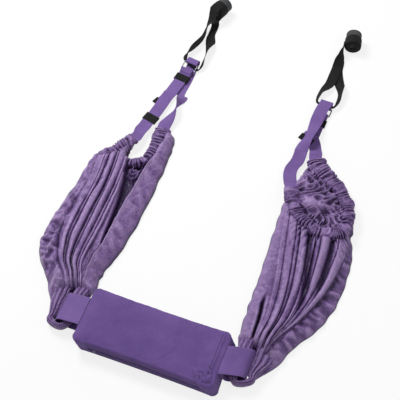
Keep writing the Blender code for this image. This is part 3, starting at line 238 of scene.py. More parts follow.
def grid_mesh(
    name, points, wrap=(False, False), uv=None, caps=(False, False), keep=None, valley=None
):
    """A mesh from a grid of points, with faces outward, and its uv in metres if given.

    valley, if given, is kept as the points' valley attribute, which the paints read as painted
    shade toward 1, in a fold, and the sling cloth's also as painted highlight toward -1, on a
    ridge.
    """
    n, m = points.shape[:2]
    i, j = np.meshgrid(
        np.arange(n if wrap[0] else n - 1),
        np.arange(m if wrap[1] else m - 1),
        indexing="ij",
    )
    if keep is not None:
        i, j = i[keep], j[keep]
    i, j = i.ravel(), j.ravel()
    ii, jj = (i + 1) % n, (j + 1) % m
    quads = np.stack([i * m + j, i * m + jj, ii * m + jj, ii * m + j], 1)
    flat = points.reshape(-1, 3)
    corners = flat[quads]
    across = np.cross(corners[:, 2] - corners[:, 0], corners[:, 3] - corners[:, 1])
    outward = ((corners.mean(1) - corners.mean((0, 1))) * across).sum()
    order = [0, 1, 2, 3] if outward >= 0 else [3, 2, 1, 0]
    faces = quads[:, order].tolist()
    for end, wanted in ((0, caps[0]), (n - 1, caps[1])):
        if wanted:
            ring = list(range(end * m, end * m + m))
            faces.append(ring if (end == 0) == (outward < 0) else ring[::-1])
    mesh = bpy.data.meshes.new(name)
    mesh.from_pydata(flat.tolist(), [], faces)
    if uv is not None:
        layer = mesh.uv_layers.new(name="uv")
        corner_uv = np.stack([uv[i, j], uv[i, j + 1], uv[i + 1, j + 1], uv[i + 1, j]], 1)
        values = corner_uv[:, order].reshape(-1)
        extra = sum(len(f) for f in faces[len(quads) :])
        layer.data.foreach_set("uv", np.concatenate([values, np.zeros(2 * extra)]))
    if valley is not None:
        shade = mesh.attributes.new("valley", "FLOAT", "POINT")
        shade.data.foreach_set("value", np.clip(valley, -1, 1).ravel())
    mesh.update()
    return mesh


def blurred(field, reach, passes=3):
    """A field smoothed along both ways of its grid by repeated running means."""
    for _ in range(passes):
        for axis in (0, 1):
            width = [(0, 0), (0, 0)]
            width[axis] = (reach + 1, reach)
            total = np.cumsum(np.pad(field, width, mode="edge"), axis)
            high = np.take(total, np.arange(2 * reach + 1, total.shape[axis]), axis)
            low = np.take(total, np.arange(0, total.shape[axis] - 2 * reach - 1), axis)
            field = (high - low) / (2 * reach + 1)
    return field


def wall_uv(points, wrap_rows=False, wrap_columns=False):
    """Uv in metres for a grid: the distance along its rows and along its columns."""
    if wrap_rows:
        points = np.concatenate([points, points[:1]])
    if wrap_columns:
        points = np.concatenate([points, points[:, :1]], 1)
    down = np.linalg.norm(np.diff(points, axis=0), axis=2).mean(1)
    across = np.linalg.norm(np.diff(points, axis=1), axis=2)
    u = np.concatenate([[0.0], np.cumsum(down)])[:, None] + 0 * points[..., 0]
    v = np.concatenate([np.zeros((len(points), 1)), np.cumsum(across, 1)], 1)
    return np.stack([u, v], -1)


def merged(mesh, distance=0.00001):
    """Joins points that coincide, as at a pole, and turns the faces outward."""
    bm = bmesh.new()
    bm.from_mesh(mesh)
    bmesh.ops.remove_doubles(bm, verts=bm.verts, dist=distance)
    bmesh.ops.recalc_face_normals(bm, faces=bm.faces)
    bm.to_mesh(mesh)
    bm.free()
    return mesh


def joined(name, meshes):
    """Several meshes as one, each of them a closed body of the same piece."""
    bm = bmesh.new()
    for mesh in meshes:
        bm.from_mesh(mesh)
        bpy.data.meshes.remove(mesh)
    whole = bpy.data.meshes.new(name)
    bm.to_mesh(whole)
    bm.free()
    return whole


def add_piece(name, mesh, paint, body, replaces=(), smooth=True):
    """Puts a finished mesh in the scene, where it rides on its body."""
    piece = bpy.data.objects.new(name, mesh)
    bpy.context.scene.collection.objects.link(piece)
    mesh.materials.append(paint)
    if smooth:
        mesh.shade_smooth()
    if body:
        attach(piece, body)
    if replaces:
        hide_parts(*replaces)
    return piece


# Shader maths


class Level:
    """A number that varies over a surface. Arithmetic on it adds Math nodes."""

    def __init__(self, paint, socket):
        self.paint = paint
        self.socket = socket

    def math(self, operation, *values):
        places = dict(enumerate(values))
        return self.paint.node("ShaderNodeMath", {"operation": operation}, places)

    def __add__(self, other):
        return self.math("ADD", self, other)

    def __sub__(self, other):
        return self.math("SUBTRACT", self, other)

    def __rsub__(self, other):
        return self.math("SUBTRACT", other, self)

    def __mul__(self, other):
        return self.math("MULTIPLY", self, other)

    def __pow__(self, other):
        return self.math("POWER", self, other)

    def __abs__(self):
        return self.math("ABSOLUTE", self)

    def sine(self):
        return self.math("SINE", self)

    def most(self, other):
        return self.math("MAXIMUM", self, other)

    def least(self, other):
        return self.math("MINIMUM", self, other)

    def between(self, low, high):
        """0 below low and 1 above high, smoothly."""
        settings = {"interpolation_type": "SMOOTHSTEP", "clamp": True}
        places = {0: self, 1: low, 2: high, 3: 0.0, 4: 1.0}
        return self.paint.node("ShaderNodeMapRange", settings, places)


class Paint:
    """One procedural material, and the tools its recipe is written with."""

    def __init__(self, name, **constants):
        self.material = bpy.data.materials.new(name)
        self.material.use_nodes = True
        self.tree = self.material.node_tree
        self.shader = self.tree.nodes["Principled BSDF"]
        for key, value in constants.items():
            self.shader.inputs[key.replace("_", " ")].default_value = value

    def node(self, kind, settings=None, places=None, out=0):
        """Adds any node: its settings first, then its sockets' values or links."""
        made = self.tree.nodes.new(kind)
        for key, value in (settings or {}).items():
            setattr(made, key, value)
        for key, value in (places or {}).items():
            if isinstance(value, Level):
                self.tree.links.new(value.socket, made.inputs[key])
            else:
                made.inputs[key].default_value = value
        return Level(self, made.outputs[out])

    def place(self):
        return self.node("ShaderNodeTexCoord", out="Object")

    def cloth_uv(self):
        """The surface's own uv, in metres along and across the cloth."""
        uv = self.node("ShaderNodeUVMap", {"uv_map": "uv"})
        apart = self.tree.nodes.new("ShaderNodeSeparateXYZ")
        self.tree.links.new(uv.socket, apart.inputs[0])
        return uv, Level(self, apart.outputs[0]), Level(self, apart.outputs[1])

    def scaled(self, vector, scale):
        settings = {"operation": "MULTIPLY"}
        return self.node("ShaderNodeVectorMath", settings, {0: vector, 1: scale})

    def noise(self, vector, scale, detail=3.0, rough=0.55, warp=0.0):
        places = {
            "Vector": vector,
            "Scale": scale,
            "Detail": detail,
            "Roughness": rough,
            "Distortion": warp,
        }
        return self.node("ShaderNodeTexNoise", {}, places)

    def cells(self, vector, scale, feature="F1"):
        places = {"Vector": vector, "Scale": scale}
        return self.node("ShaderNodeTexVoronoi", {"feature": feature}, places)

    def mix(self, factor, first, second):
        places = {0: factor, 6: first, 7: second}
        return self.node("ShaderNodeMix", {"data_type": "RGBA"}, places, 2)

    def bump(self, height, distance, strength=1.0, under=None):
        places = {"Height": height, "Distance": distance, "Strength": strength}
        if under is not None:
            places["Normal"] = under
        return self.node("ShaderNodeBump", {}, places)

    def feed(self, **links):
        for key, value in links.items():
            self.tree.links.new(value.socket, self.shader.inputs[key.replace("_", " ")])
        return self.material


def colour(hexes):
    """A colour written as sRGB hexadecimal, as linear red, green, blue, alpha."""
    parts = [int(hexes[i : i + 2], 16) / 255 for i in (0, 2, 4)]
    return (*[p / 12.92 if p < 0.04 else ((p + 0.055) / 1.055) ** 2.4 for p in parts], 1.0)


def webbing_paint(name, base, dark, pitch, gloss, sheen=0.10):
    """Woven webbing: ribs across it, a fine twill on them, threads along it and worn patches."""
    paint = Paint(name, Sheen_Weight=sheen, Sheen_Roughness=0.5, Specular_IOR_Level=0.35)
    uv, along, across = paint.cloth_uv()
    rib = (along * (2 * math.pi / pitch)).sine() * 0.5 + 0.5
    twill = ((along + across * 1.7) * (2 * math.pi / (pitch * 0.83))).sine() * 0.5 + 0.5
    thread = (across * (2 * math.pi / (pitch * 0.9))).sine() * 0.5 + 0.5
    weave = rib * 0.5 + twill * 0.3 + thread * 0.2
    worn = paint.noise(uv, 38.0, 4.0)
    soft = paint.noise(uv, 9.0, 2.0)
    shade = (weave * 0.45 + worn * 0.35 + soft * 0.35).between(0.25, 0.95)
    body = paint.mix(shade, dark, base)
    height = weave * 0.8 + worn * 0.4
    rough = worn * 0.2 + gloss
    return paint.feed(
        Base_Color=body, Roughness=rough, Normal=paint.bump(height, 0.00035, 0.7)
    )


def taffeta_paint(name, base, dark, light, shine, painted_fold_shade):
    """Thin nylon cloth: a fine weave, crumples at three sizes and pinched folds, with painted shade
    in its creases and folds and painted highlight on its ridges.
    """
    paint = Paint(
        name, Roughness=0.45, Sheen_Weight=0.08, Sheen_Roughness=0.35, Specular_IOR_Level=0.28
    )
    place = paint.place()
    uv, along, across = paint.cloth_uv()
    large = paint.noise(place, 16.0, 3.0, 0.55, 0.6)
    crumple = paint.noise(place, 62.0, 4.0, 0.6, 1.1)
    fine = paint.noise(place, 210.0, 3.0, 0.6, 0.8)
    sharp = abs(crumple - 0.5) * 2.0
    drawn = paint.noise(paint.scaled(uv, (7.0, 70.0, 1.0)), 2.0, 3.0, 0.6)
    weave = (along * 5200.0).sine() * (across * 5200.0).sine()
    pale = (large * 0.5 + drawn * 0.3 + fine * 0.2).between(0.34, 0.66)
    # Painted shade along the crumples' creases, which the bump also cuts in as grooves.
    deep = (1.0 - sharp).between(0.86, 1.0) * 0.28
    # The points' valley attribute: painted shade in folds above 0, painted highlight on ridges
    # below 0.
    painted_shade_and_highlight = paint.node("ShaderNodeAttribute", {"attribute_name": "valley"}, out=2)
    # Painted highlight along the facets' edges, which the bump raises into ridges.
    facet = paint.cells(paint.scaled(place, (1.0, 0.62, 1.0)), 46.0, "DISTANCE_TO_EDGE")
    edge = (1.0 - facet).between(0.955, 1.0)
    body = paint.mix(pale, base, light)
    # Painted shade in the creases, painted highlight on facet edges and ridges, and painted shade
    # in folds.
    body = paint.mix(deep, body, dark)
    body = paint.mix(edge * large * 0.45, body, shine)
    body = paint.mix((painted_shade_and_highlight * -1.0).most(0.0) * 0.55, body, shine)
    body = paint.mix(painted_shade_and_highlight.most(0.0) * 0.92, body, painted_fold_shade)
    height = crumple + drawn * 0.55 + fine * 0.22 - (1.0 - sharp) ** 6.0 * 0.35
    height = height - facet.least(0.12) * 2.2
    normal = paint.bump(height, 0.0028, 0.75)
    normal = paint.bump(weave, 0.00006, 0.35, normal)
    rough = fine * 0.20 + 0.30
    return paint.feed(Base_Color=body, Roughness=rough, Normal=normal)


def cover_paint(name, base, dark, light):
    """The cushion's brushed cotton cover: a plain weave, slubs and faint handling marks, with
    painted shade from the points' valley attribute.
    """
    paint = Paint(name, Sheen_Weight=0.08, Sheen_Roughness=0.6, Specular_IOR_Level=0.3)
    place = paint.place()
    threads = paint.noise(paint.scaled(place, (1.0, 6.0, 6.0)), 220.0, 2.0)
    cross = paint.noise(paint.scaled(place, (6.0, 1.0, 1.0)), 220.0, 2.0)
    cloudy = paint.noise(place, 11.0, 4.0, 0.6)
    pills = paint.noise(place, 420.0, 2.0)
    shade = (cloudy * 0.6 + threads * 0.2 + cross * 0.2).between(0.3, 0.7)
    body = paint.mix(shade, dark, base)
    body = paint.mix(pills.between(0.55, 0.8) * 0.35, body, light)
    painted_shade_and_highlight = paint.node("ShaderNodeAttribute", {"attribute_name": "valley"}, out=2)
    # Painted shade: a deep purple where the valley attribute is above 0.
    body = paint.mix(painted_shade_and_highlight.most(0.0) * 0.85, body, colour("2f1f4c"))
    height = threads * 0.4 + cross * 0.4 + pills * 0.2
    return paint.feed(
        Base_Color=body,
        Roughness=pills * 0.12 + 0.82,
        Normal=paint.bump(height, 0.0004, 0.7, paint.bump(cloudy, 0.002, 0.5)),
    )


def foam_paint(name, base, dark):
    """Closed-cell foam: small pits of two sizes and a scuffed skin."""
    paint = Paint(name, Roughness=0.88)
    place = paint.place()
    pits = paint.cells(place, 900.0)
    pores = paint.cells(place, 380.0)
    scuff = paint.noise(place, 60.0, 5.0, 0.65)
    shade = (scuff * 0.7 + pits * 0.3).between(0.3, 0.7)
    return paint.feed(
        Base_Color=paint.mix(shade, dark, base),
        Roughness=scuff * 0.2 + 0.76,
        Normal=paint.bump(pits * 0.5 + pores * 0.5, 0.0003, 0.6),
    )


def metal_paint(name, base, rough):
    """Plated steel: faint drawing marks and a slightly clouded shine."""
    paint = Paint(name, Metallic=1.0)
    place = paint.place()
    cloudy = paint.noise(place, 120.0, 3.0)
    marks = paint.noise(place, 900.0, 2.0)
    return paint.feed(
        Base_Color=paint.mix(cloudy, base, colour("8f9196")),
        Roughness=cloudy * 0.18 + rough,
        Normal=paint.bump(marks, 0.00004, 0.5),
    )


def plastic_paint(name, base, rough=0.42):
    """Moulded plastic: a fine spark-eroded grain."""
    paint = Paint(name)
    place = paint.place()
    grain = paint.noise(place, 1400.0, 2.0)
    cloudy = paint.noise(place, 50.0, 3.0)
    return paint.feed(
        Base_Color=paint.mix(cloudy, base, (*[c * 1.6 for c in base[:3]], 1.0)),
        Roughness=cloudy * 0.15 + rough,
        Normal=paint.bump(grain, 0.00008, 0.5),
    )


PAINTS = {}


def make_paints(look):
    # The sling cloth's dark, light, shine and last colours: painted shade in creases, a paler tone,
    # painted highlight, and painted shade in folds.
    shades = (colour(hexes) for hexes in ("40275c", "80639a", "b399c8", "26113c"))
    PAINTS["webbing"] = webbing_paint(
        "purple webbing", look.webbing, colour("5c427f"), 0.0021, 0.62
    )
    PAINTS["black"] = webbing_paint(
        "black webbing", look.black, colour("040405"), 0.0019, 0.74, 0.0
    )
    PAINTS["taffeta"] = taffeta_paint("sling taffeta", look.taffeta, *shades)
    PAINTS["cover"] = cover_paint("cushion cover", look.cover, colour("573e7c"), colour("8a6fa8"))
    PAINTS["stopper"] = foam_paint("stopper foam", look.stopper, colour("2c2d2f"))
    PAINTS["cushion foam"] = foam_paint("cushion foam", colour("e0d5b8"), colour("cdbf9c"))
    PAINTS["steel"] = metal_paint("plated steel", colour("5c5e63"), 0.26)
    PAINTS["zip metal"] = plastic_paint("painted zip metal", colour("4c3a68"), 0.4)
    PAINTS["tape"] = webbing_paint("zip tape", colour("4d3968"), colour("38284f"), 0.0012, 0.7)
    PAINTS["core"] = plastic_paint("stopper core", colour("151516"))
    PAINTS["teeth"] = plastic_paint("zip teeth", colour("433159"), 0.5)
    PAINTS["thread"] = plastic_paint("purple thread", colour("7a5ea6"), 0.7)
    PAINTS["dark thread"] = plastic_paint("black thread", colour("262628"), 0.7)


# Cushion

CUSHION = {"length": 0.382, "depth": 0.158, "height": 0.050, "crown": 0.005}
CORNER = 0.016
DRAW_IN = 0.0025
LEAN = 0.013
ZIP_HEIGHT = 0.026
ZIP_LENGTH = 0.290
ZIP_FACE = -0.0762
INNER_LEVELS = 69
TOP_LEVEL = 150


def leaning(height):
    """How far the cushion has shifted to the right at a height, from its top seam."""
    return LEAN * (1 - height / CUSHION["height"])


def cushion_plan(count):
    """Round-cornered outline: equal steps round a rectangle's sides and its four arcs."""
    hx, hy, r = CUSHION["length"] / 2, CUSHION["depth"] / 2, CORNER
    sides = [2 * (hx - r), 2 * (hy - r)] * 2
    arc = math.pi / 2 * r
    total = sum(sides) + 4 * arc
    stops = np.cumsum([0.0] + [x for side in sides for x in (side, arc)])
    at = np.linspace(0.0, total, count, endpoint=False)
    leg = np.clip(np.searchsorted(stops, at, side="right") - 1, 0, 7)
    run = at - stops[leg]
    quarter = leg // 2
    turn = -math.pi / 2 + quarter * math.pi / 2
    centre = np.array([(1, -1), (1, 1), (-1, 1), (-1, -1)])[quarter]
    along = np.stack([np.cos(turn + math.pi / 2), np.sin(turn + math.pi / 2)], -1)
    outward = np.stack([np.cos(turn), np.sin(turn)], -1)
    corner = centre * (hx - r, hy - r)
    side_length = np.array(sides)[quarter]
    back = corner - along * (side_length - run)[:, None] + outward * r
    bend = turn + run / r
    round_it = corner + r * np.stack([np.cos(bend), np.sin(bend)], -1)
    straight = leg % 2 == 0
    share = np.where(straight, run / side_length, 0.0)
    draw = DRAW_IN * np.where(straight, np.sin(math.pi * share) ** 0.5, 0.0)
    spot = np.where(straight[:, None], back, round_it)
    normal = np.where(straight[:, None], outward, np.stack([np.cos(bend), np.sin(bend)], -1))
    return spot - normal * draw[:, None], normal


def cushion_mesh(crown):
    """The cover: its plan carried up a soft-edged side, then in to a ridge in the middle.

    Each level is the plan moved in by an inset, at a height. Past the edges the
    levels shrink to a line along the cushion's middle, and the crown rises as a sine.
    """
    plan, normal = cushion_plan(720)
    top = CUSHION["height"]
    soft = 0.0048
    turn = np.linspace(0, math.pi / 2, 9)
    low = [(soft * (1 - math.sin(a)) * 1.5, soft * (1 - math.cos(a))) for a in turn]
    sides = [(0.0, z) for z in np.linspace(soft, top - soft, 34)[1:-1]]
    high = [(soft * (1 - math.cos(a)), top - soft + soft * math.sin(a)) for a in turn]
    edge = np.array([*low, *sides, *high])
    inset, height = edge[:, 0], edge[:, 1]
    points = plan[None] - normal[None] * inset[:, None, None]
    z = np.repeat(height[:, None], len(plan), 1)
    bulge = 0.0012 * np.sin(math.pi * np.clip(z / top, 0, 1)) ** 0.7 - 0.0008
    points = points + normal[None] * bulge[..., None]
    ridge = np.stack([np.clip(plan[:, 0], -0.112, 0.112), 0 * plan[:, 0]], -1)
    share = np.linspace(0, 1, INNER_LEVELS + 1)[1:, None, None]
    upper = points[-1][None] * (1 - share) + ridge[None] * share
    rise = np.sin(share[..., 0] * math.pi / 2) ** 1.3
    uz = top + crown * rise + 0 * upper[..., 0]
    lower = (points[0][None] * (1 - share) + ridge[None] * share)[::-1]
    grid = np.concatenate([lower, points, upper])
    heights = np.concatenate([0 * lower[..., 0], z, uz])
    return np.concatenate([grid, heights[..., None]], -1), normal


def evaluated(piece):
    return piece.evaluated_get(bpy.context.evaluated_depsgraph_get())


def swelling(points, cap=0.004, voxel=0.005):
    """How far the cover moves when its filling presses on it, by a cloth simulation.

    A remeshed copy swells under pressure for twenty frames, its moves are capped, and
    each point takes the mean move of its nearest ones.
    """
    scene = bpy.context.scene
    form = bpy.data.objects.new("cover form", merged(grid_mesh("form", points, (False, True))))
    scene.collection.objects.link(form)
    remesh = form.modifiers.new("remesh", "REMESH")
    remesh.mode = "VOXEL"
    remesh.voxel_size = voxel
    form.data = bpy.data.meshes.new_from_object(evaluated(form))
    form.modifiers.clear()
    rest = np.zeros(3 * len(form.data.vertices))
    form.data.vertices.foreach_get("co", rest)
    cloth = form.modifiers.new("cloth", "CLOTH").settings
    cloth.quality = 6
    cloth.use_pressure = True
    cloth.uniform_pressure_force = 4.0
    cloth.effector_weights.gravity = 0.0
    for frame in range(1, 21):
        scene.frame_set(frame)
    swollen = evaluated(form).to_mesh()
    after = np.zeros(len(rest))
    swollen.vertices.foreach_get("co", after)
    rest, after = rest.reshape(-1, 3), after.reshape(-1, 3)
    moves = after - rest
    size = np.linalg.norm(moves, axis=1, keepdims=True)
    moves = moves * np.minimum(1.0, cap / np.maximum(size, 1e-9))
    bpy.data.objects.remove(form)
    scene.frame_set(1)
    tree = KDTree(len(rest))
    for k, spot in enumerate(rest):
        tree.insert(spot, k)
    tree.balance()
    found = np.zeros((points.shape[0] * points.shape[1], 3))
    for k, spot in enumerate(points.reshape(-1, 3)):
        near = tree.find_n(spot, 5)
        weight = np.array([1.0 / (n[2] ** 2 + 4e-6) for n in near])
        found[k] = weight @ moves[[n[1] for n in near]] / weight.sum()
    return found.reshape(points.shape)


def cover_mesh():
    """The finished cover: swollen by its filling, then welted, stitched and puckered, with painted
    shade along its welts, over its front face and in its creases.
    """
    points, normal = cushion_mesh(0.64 * CUSHION["crown"])
    moves = swelling(points) * (0.2, 0.2, 0.5)
    points = points + moves * ramp(points[..., 2], 0.004, 0.020)[..., None]
    top = CUSHION["height"]
    x, y, z = (points[..., k] for k in range(3))
    side = np.zeros(x.shape)
    side[INNER_LEVELS:-INNER_LEVELS] = 1.0
    around = np.arange(x.shape[1])[None] / x.shape[1] * 1.08

    # The welt at both edges, the slack between them and the placket over the zip
    push = 0.0012 * (bell(z, top - 0.0030, 0.0011) + bell(z, 0.0030, 0.0011))
    slack = 0.0004 * ripple(around, z, 3, 0.07) + 0.0010 * crumples(around, z, 4, 0.030)
    push += ramp(z, 0.002, 0.008) * slack
    from_zip = np.abs(x + LEAN / 2 - leaning(ZIP_HEIGHT))
    front = ramp(-y, 0.060, 0.072) * (1 - ramp(from_zip, 0.149, 0.156))
    push -= 0.0028 * front * (1 - ramp(np.abs(z - ZIP_HEIGHT), 0.0030, 0.0044))
    lips = bell(z, ZIP_HEIGHT + 0.0056, 0.0012) + bell(z, ZIP_HEIGHT - 0.0056, 0.0012)
    push += 0.0010 * front * lips
    points[..., :2] += (push * side)[..., None] * normal[None]

    # Dents and creases of the top, the stitch lines near its right end and its pucker
    free = ramp(z, top - 0.0002, top + 0.0012) * (1 - side)
    free = np.maximum(free, (1 - side) * (np.arange(len(z))[:, None] > TOP_LEVEL))
    dents = 0.0005 * ripple(x, y, 11, 0.16) + 0.0012 * crumples(x, y, 12, 0.060)
    corner = bell(x, 0.165, 0.030) * bell(y, -0.058, 0.024)
    pull = 0.0060 * crumples(x, y, 14, 0.020, (0.4, 1.2)) * corner
    rows = bell(x, 0.1690, 0.0014) + bell(x, 0.1765, 0.0014)
    line = -0.0013 * rows * (1 - ramp(np.abs(y), 0.062, 0.070))
    dip = -0.0008 * bell(x, -0.02, 0.10) * bell(y, 0.079, 0.018)
    points[..., 2] += (dents + pull + line + dip) * free
    # The valley attribute, read as painted shade: in the creases beside both welts, over the front
    # face along the zip's length, in the stitch rows' dents and in the pucker's creases.
    seam = side * (bell(z, top - 0.0050, 0.0009) + bell(z, 0.0050, 0.0009) + 0.5 * front)
    seam = 0.65 * seam + free * (0.5 * line / -0.0013 + 0.9 * (blurred(pull, 4) - pull) / 0.0014)
    points[..., 0] += leaning(np.clip(points[..., 2], 0, top))
    return merged(grid_mesh("cover", points, (False, True), valley=seam))


def repeated(name, points, faces):
    """Many like bodies as one mesh: the points of each, and the faces that all have."""
    size = points[0].size // 3
    whole = [[k * size + corner for corner in face] for k in range(len(points)) for face in faces]
    mesh = bpy.data.meshes.new(name)
    mesh.from_pydata(points.reshape(-1, 3).tolist(), [], whole)
    return merged(mesh, 1e-7)


def zip_mesh():
    """The zip's teeth: a row of small blocks that sit a little up and down by turns."""
    count = 148
    middle = leaning(ZIP_HEIGHT)
    x = np.linspace(-ZIP_LENGTH / 2 + 0.004, ZIP_LENGTH / 2 - 0.004, count) + middle
    shift = np.where(np.arange(count) % 2 == 0, 0.0004, -0.0004)
    half = np.array([(0.00062, 0.0007, 0.0014)])
    signs = np.array([(i, j, k) for i in (-1, 1) for j in (-1, 1) for k in (-1, 1)])
    block = signs * half * np.where(signs[:, 1:2] < 0, (0.8, 1.0, 0.8), (1.0, 1.0, 1.0))
    centres = np.stack([x, np.full(count, ZIP_FACE - 0.0004), ZIP_HEIGHT + shift], 1)
    sides = [(0, 1, 3, 2), (4, 6, 7, 5), (0, 4, 5, 1), (2, 3, 7, 6), (0, 2, 6, 4), (1, 5, 7, 3)]
    return repeated("teeth", centres[:, None] + block[None], sides)


def tape_mesh():
    """The zip's tape: a flat strip with a shallow step along its middle."""
    x = np.linspace(-ZIP_LENGTH / 2, ZIP_LENGTH / 2, 120) + leaning(ZIP_HEIGHT)
    half = [(-0.0034, -0.0009), (-0.0034, 0.0), (-0.0015, 0.0), (-0.0012, 0.0004)]
    other = [(-q, depth) for q, depth in half[::-1]]
    section = np.array([*half[1:], *other, half[0]])
    z, depth = section[:, 0], section[:, 1]
    points = np.zeros((len(x), len(section), 3))
    points[..., 0] = x[:, None]
    points[..., 1] = ZIP_FACE - depth[None]
    points[..., 2] = ZIP_HEIGHT + z[None]
    return grid_mesh("tape", points, (False, True), wall_uv(points, False, True), (True, True))


def stitches(path, normals, length, gap, radius=0.00028):
    """A row of stitches: short six-sided beads, thin at both ends, laid along a path."""
    along = lengths(path)
    starts = np.arange(gap, along[-1] - length, length + gap)
    bead = np.array([(0.0, 0.15), (0.12, 0.8), (0.5, 1.0), (0.88, 0.8), (1.0, 0.15)])
    at = starts[:, None] + bead[None, :, 0] * length
    lift = bead[None, :, 1]
    spot = np.stack([np.interp(at, along, path[:, k]) for k in range(3)], -1)
    up = unit(np.stack([np.interp(at, along, normals[:, k]) for k in range(3)], -1))
    way = unit(spot[:, -1:] - spot[:, :1]) + 0 * spot
    side = unit(np.cross(way, up))
    turn = np.arange(6) * math.pi / 3
    ring = side[:, :, None] * np.cos(turn)[None, None, :, None]
    ring = ring + up[:, :, None] * np.sin(turn)[None, None, :, None]
    points = spot[:, :, None] + ring * (radius * lift)[..., None, None]
    m, k = points.shape[1:3]
    i, j = np.meshgrid(np.arange(m - 1), np.arange(k), indexing="ij")
    j1 = (j + 1) % k
    quads = np.stack([i * k + j, i * k + j1, (i + 1) * k + j1, (i + 1) * k + j], -1).reshape(-1, 4)
    ends = np.arange(k)[::-1], (m - 1) * k + np.arange(k)
    return repeated("stitches", points, [*quads.tolist(), *(end.tolist() for end in ends)])


def sewn(spots, across, along, lift, width, *stitch):
    """Straight rows of stitches that cross a flat piece, one through each spot."""
    rows = []
    for spot, side, way in zip(spots, across, along):
        up = unit(np.cross(side, way))
        up = up if up[2] > 0 else -up
        path = spot + side * np.linspace(-width / 2, width / 2, 60)[:, None] + up * lift
        rows.append(stitches(path, np.tile(up, (60, 1)), *stitch))
    return joined("stitches", rows)


# Webbing

FLAT = np.linspace(-1, 1, 13)
ARC = np.linspace(-math.pi / 2, math.pi / 2, 7)[1:-1]


def webbing_mesh(name, centre, across, width, thickness=WEBBING, closed=False):
    """Webbing along a path: a flat section with round edges, carried on its centre line.

    The section runs over the top, round one edge, back underneath and round the
    other. Its edges are a little thicker, as a woven edge is.
    """
    along = tangents(centre, closed)
    across = unit(across)
    normal = unit(np.cross(across, along))
    r = thickness / 2
    thick = r * (1 - 0.10 * (1 - np.abs(FLAT) ** 6))
    zero = np.zeros(len(FLAT))
    share = np.concatenate([FLAT, np.ones(5), FLAT[::-1], -np.ones(5)])
    shift = np.concatenate([zero, r * np.cos(ARC), zero, -r * np.cos(ARC)])
    lift = np.concatenate([thick, -r * np.sin(ARC), -thick, r * np.sin(ARC)])
    half = (np.asarray(width) / 2 - r)[:, None]
    side = half * share[None] + shift[None]
    points = centre[:, None] + across[:, None] * side[..., None]
    points = points + normal[:, None] * lift[None, :, None]
    travel = lengths(np.concatenate([centre, centre[:1]]) if closed else centre)
    v = np.concatenate([side, side[:, :1]], 1)
    v = np.concatenate([v, v[:1]]) if closed else v
    u = np.repeat(travel[:, None], v.shape[1], 1)
    caps = (not closed, not closed)
    return grid_mesh(name, points, (closed, True), np.stack([u, v], -1), caps)


def posed(rows, origin):
    """Centre line, width vector and width of webbing from (x, y, z, azimuth, roll, width)."""
    roll = np.radians(rows[:, 4])
    reach = rows[:, 5] / 2 * np.abs(np.sin(roll)) + WEBBING / 2 * np.abs(np.cos(roll))
    centre = rows[:, :3].copy()
    centre[:, 2] = np.maximum(centre[:, 2], CLEARANCE + reach)
    centre[:, :2] += origin[:2]
    along = tangents(centre)
    turn = np.radians(rows[:, 3])
    level = np.stack([np.cos(turn), np.sin(turn), 0 * turn], 1)
    rise = unit(np.cross(level, along))
    roll = roll[:, None]
    return centre, level * np.cos(roll) + rise * np.sin(roll), rows[:, 5]


def band_path(side):
    """The band's closed loop from the cushion's seam, over the sling and back under it."""
    seam = CUSHION["height"] - 0.0025
    floor = WEBBING / 2 + CLEARANCE - seam
    start = WEBBING / 2 + CLEARANCE
    fold = 0.067
    seat = side.sign * leaning(seam) - DRAW_IN

    def end_face(height):
        return max(side.sign * leaning(height), 0.0)

    tuck = 0.0045
    section = [
        (seat + 3 * CLEARANCE, -CLEARANCE),
        (start + 0.010, -0.0006),
        (start + 0.030, -0.0040),
        (fold - 0.014, -0.0090),
        (fold - 0.004, -0.0180),
        (fold, -0.0290),
        (fold - 0.003, -0.0390),
        (fold - 0.012, floor),
        (start + 0.034, floor),
        (start + 0.012 + end_face(0.002), floor + 0.0002),
        (start + 0.004 + end_face(0.006), floor + 0.0050),
        (start + 0.002 + end_face(0.018), floor + 0.0160),
        (start + 0.0005 + end_face(0.034), -0.0130),
        (start + 3 * CLEARANCE + seat + side.sign * LEAN * tuck / seam, -tuck),
    ]
    path = catmull(section, 9, True)
    out, up = path[:, 0], np.maximum(path[:, 1], floor)
    centre = np.stack([side.sign * out, out * side.skew, up], 1) + side.seam
    return centre, np.tile((0.0, 1.0, 0.0), (len(path), 1)), np.full(len(path), BAND_WIDTH)


class Head:
    """The strap's far end, in a frame turned to its heading from the ring's top bar."""

    def __init__(self, side, across, heading, face):
        turn = math.radians(heading)
        self.place = np.array((across, side.strap_length, 0.0))
        self.ahead = np.array((math.sin(turn), math.cos(turn), 0.0))
        self.across = np.array((math.cos(turn), -math.sin(turn), 0.0))
        self.azimuth = -heading
        self.face = face
        low = CLEARANCE + WEBBING / 2
        self.wrap = wrap = RING_WIRE / 2 + CLEARANCE + WEBBING / 2
        eye = CROSSBAR_WIDTH / 2 + CLEARANCE + WEBBING / 2
        layers = [low, low + eye, low + 2 * eye, low + 2 * eye + wrap, low + 2 * eye + 2 * wrap]
        if face < 0:
            layers = [layers[-1] + low - height for height in layers]
        self.back, self.crossbar, self.tuck, self.bar, self.front = layers

    def spot(self, across, ahead, height):
        return self.place + self.across * across + self.ahead * ahead + (0, 0, height)

    def row(self, across, ahead, height, roll):
        return [*self.spot(across, ahead, height), self.azimuth, roll, WEBBING_WIDTH]

    def arc(self, ahead, height, radius, start, end, roll, steps=8):
        turns = np.radians(np.linspace(start, end, steps + 1))
        return [
            self.row(0.0, ahead + radius * math.cos(a), height + radius * math.sin(a), roll)
            for a in turns
        ]

    def bottom_bar(self):
        """Where the ring's bottom bar rests: its distance ahead and its height."""
        height = self.bar
        if self.face > 0:
            height = self.back + 2 * STRAP_LAYER + KEEPER_CLOTH + self.wrap
        return -math.sqrt(RING_HEIGHT**2 - (self.bar - height) ** 2), height


HEADS = {"left": Head(LEFT, 0.019, 9, 1), "right": Head(RIGHT, 0.001, 2, -1)}

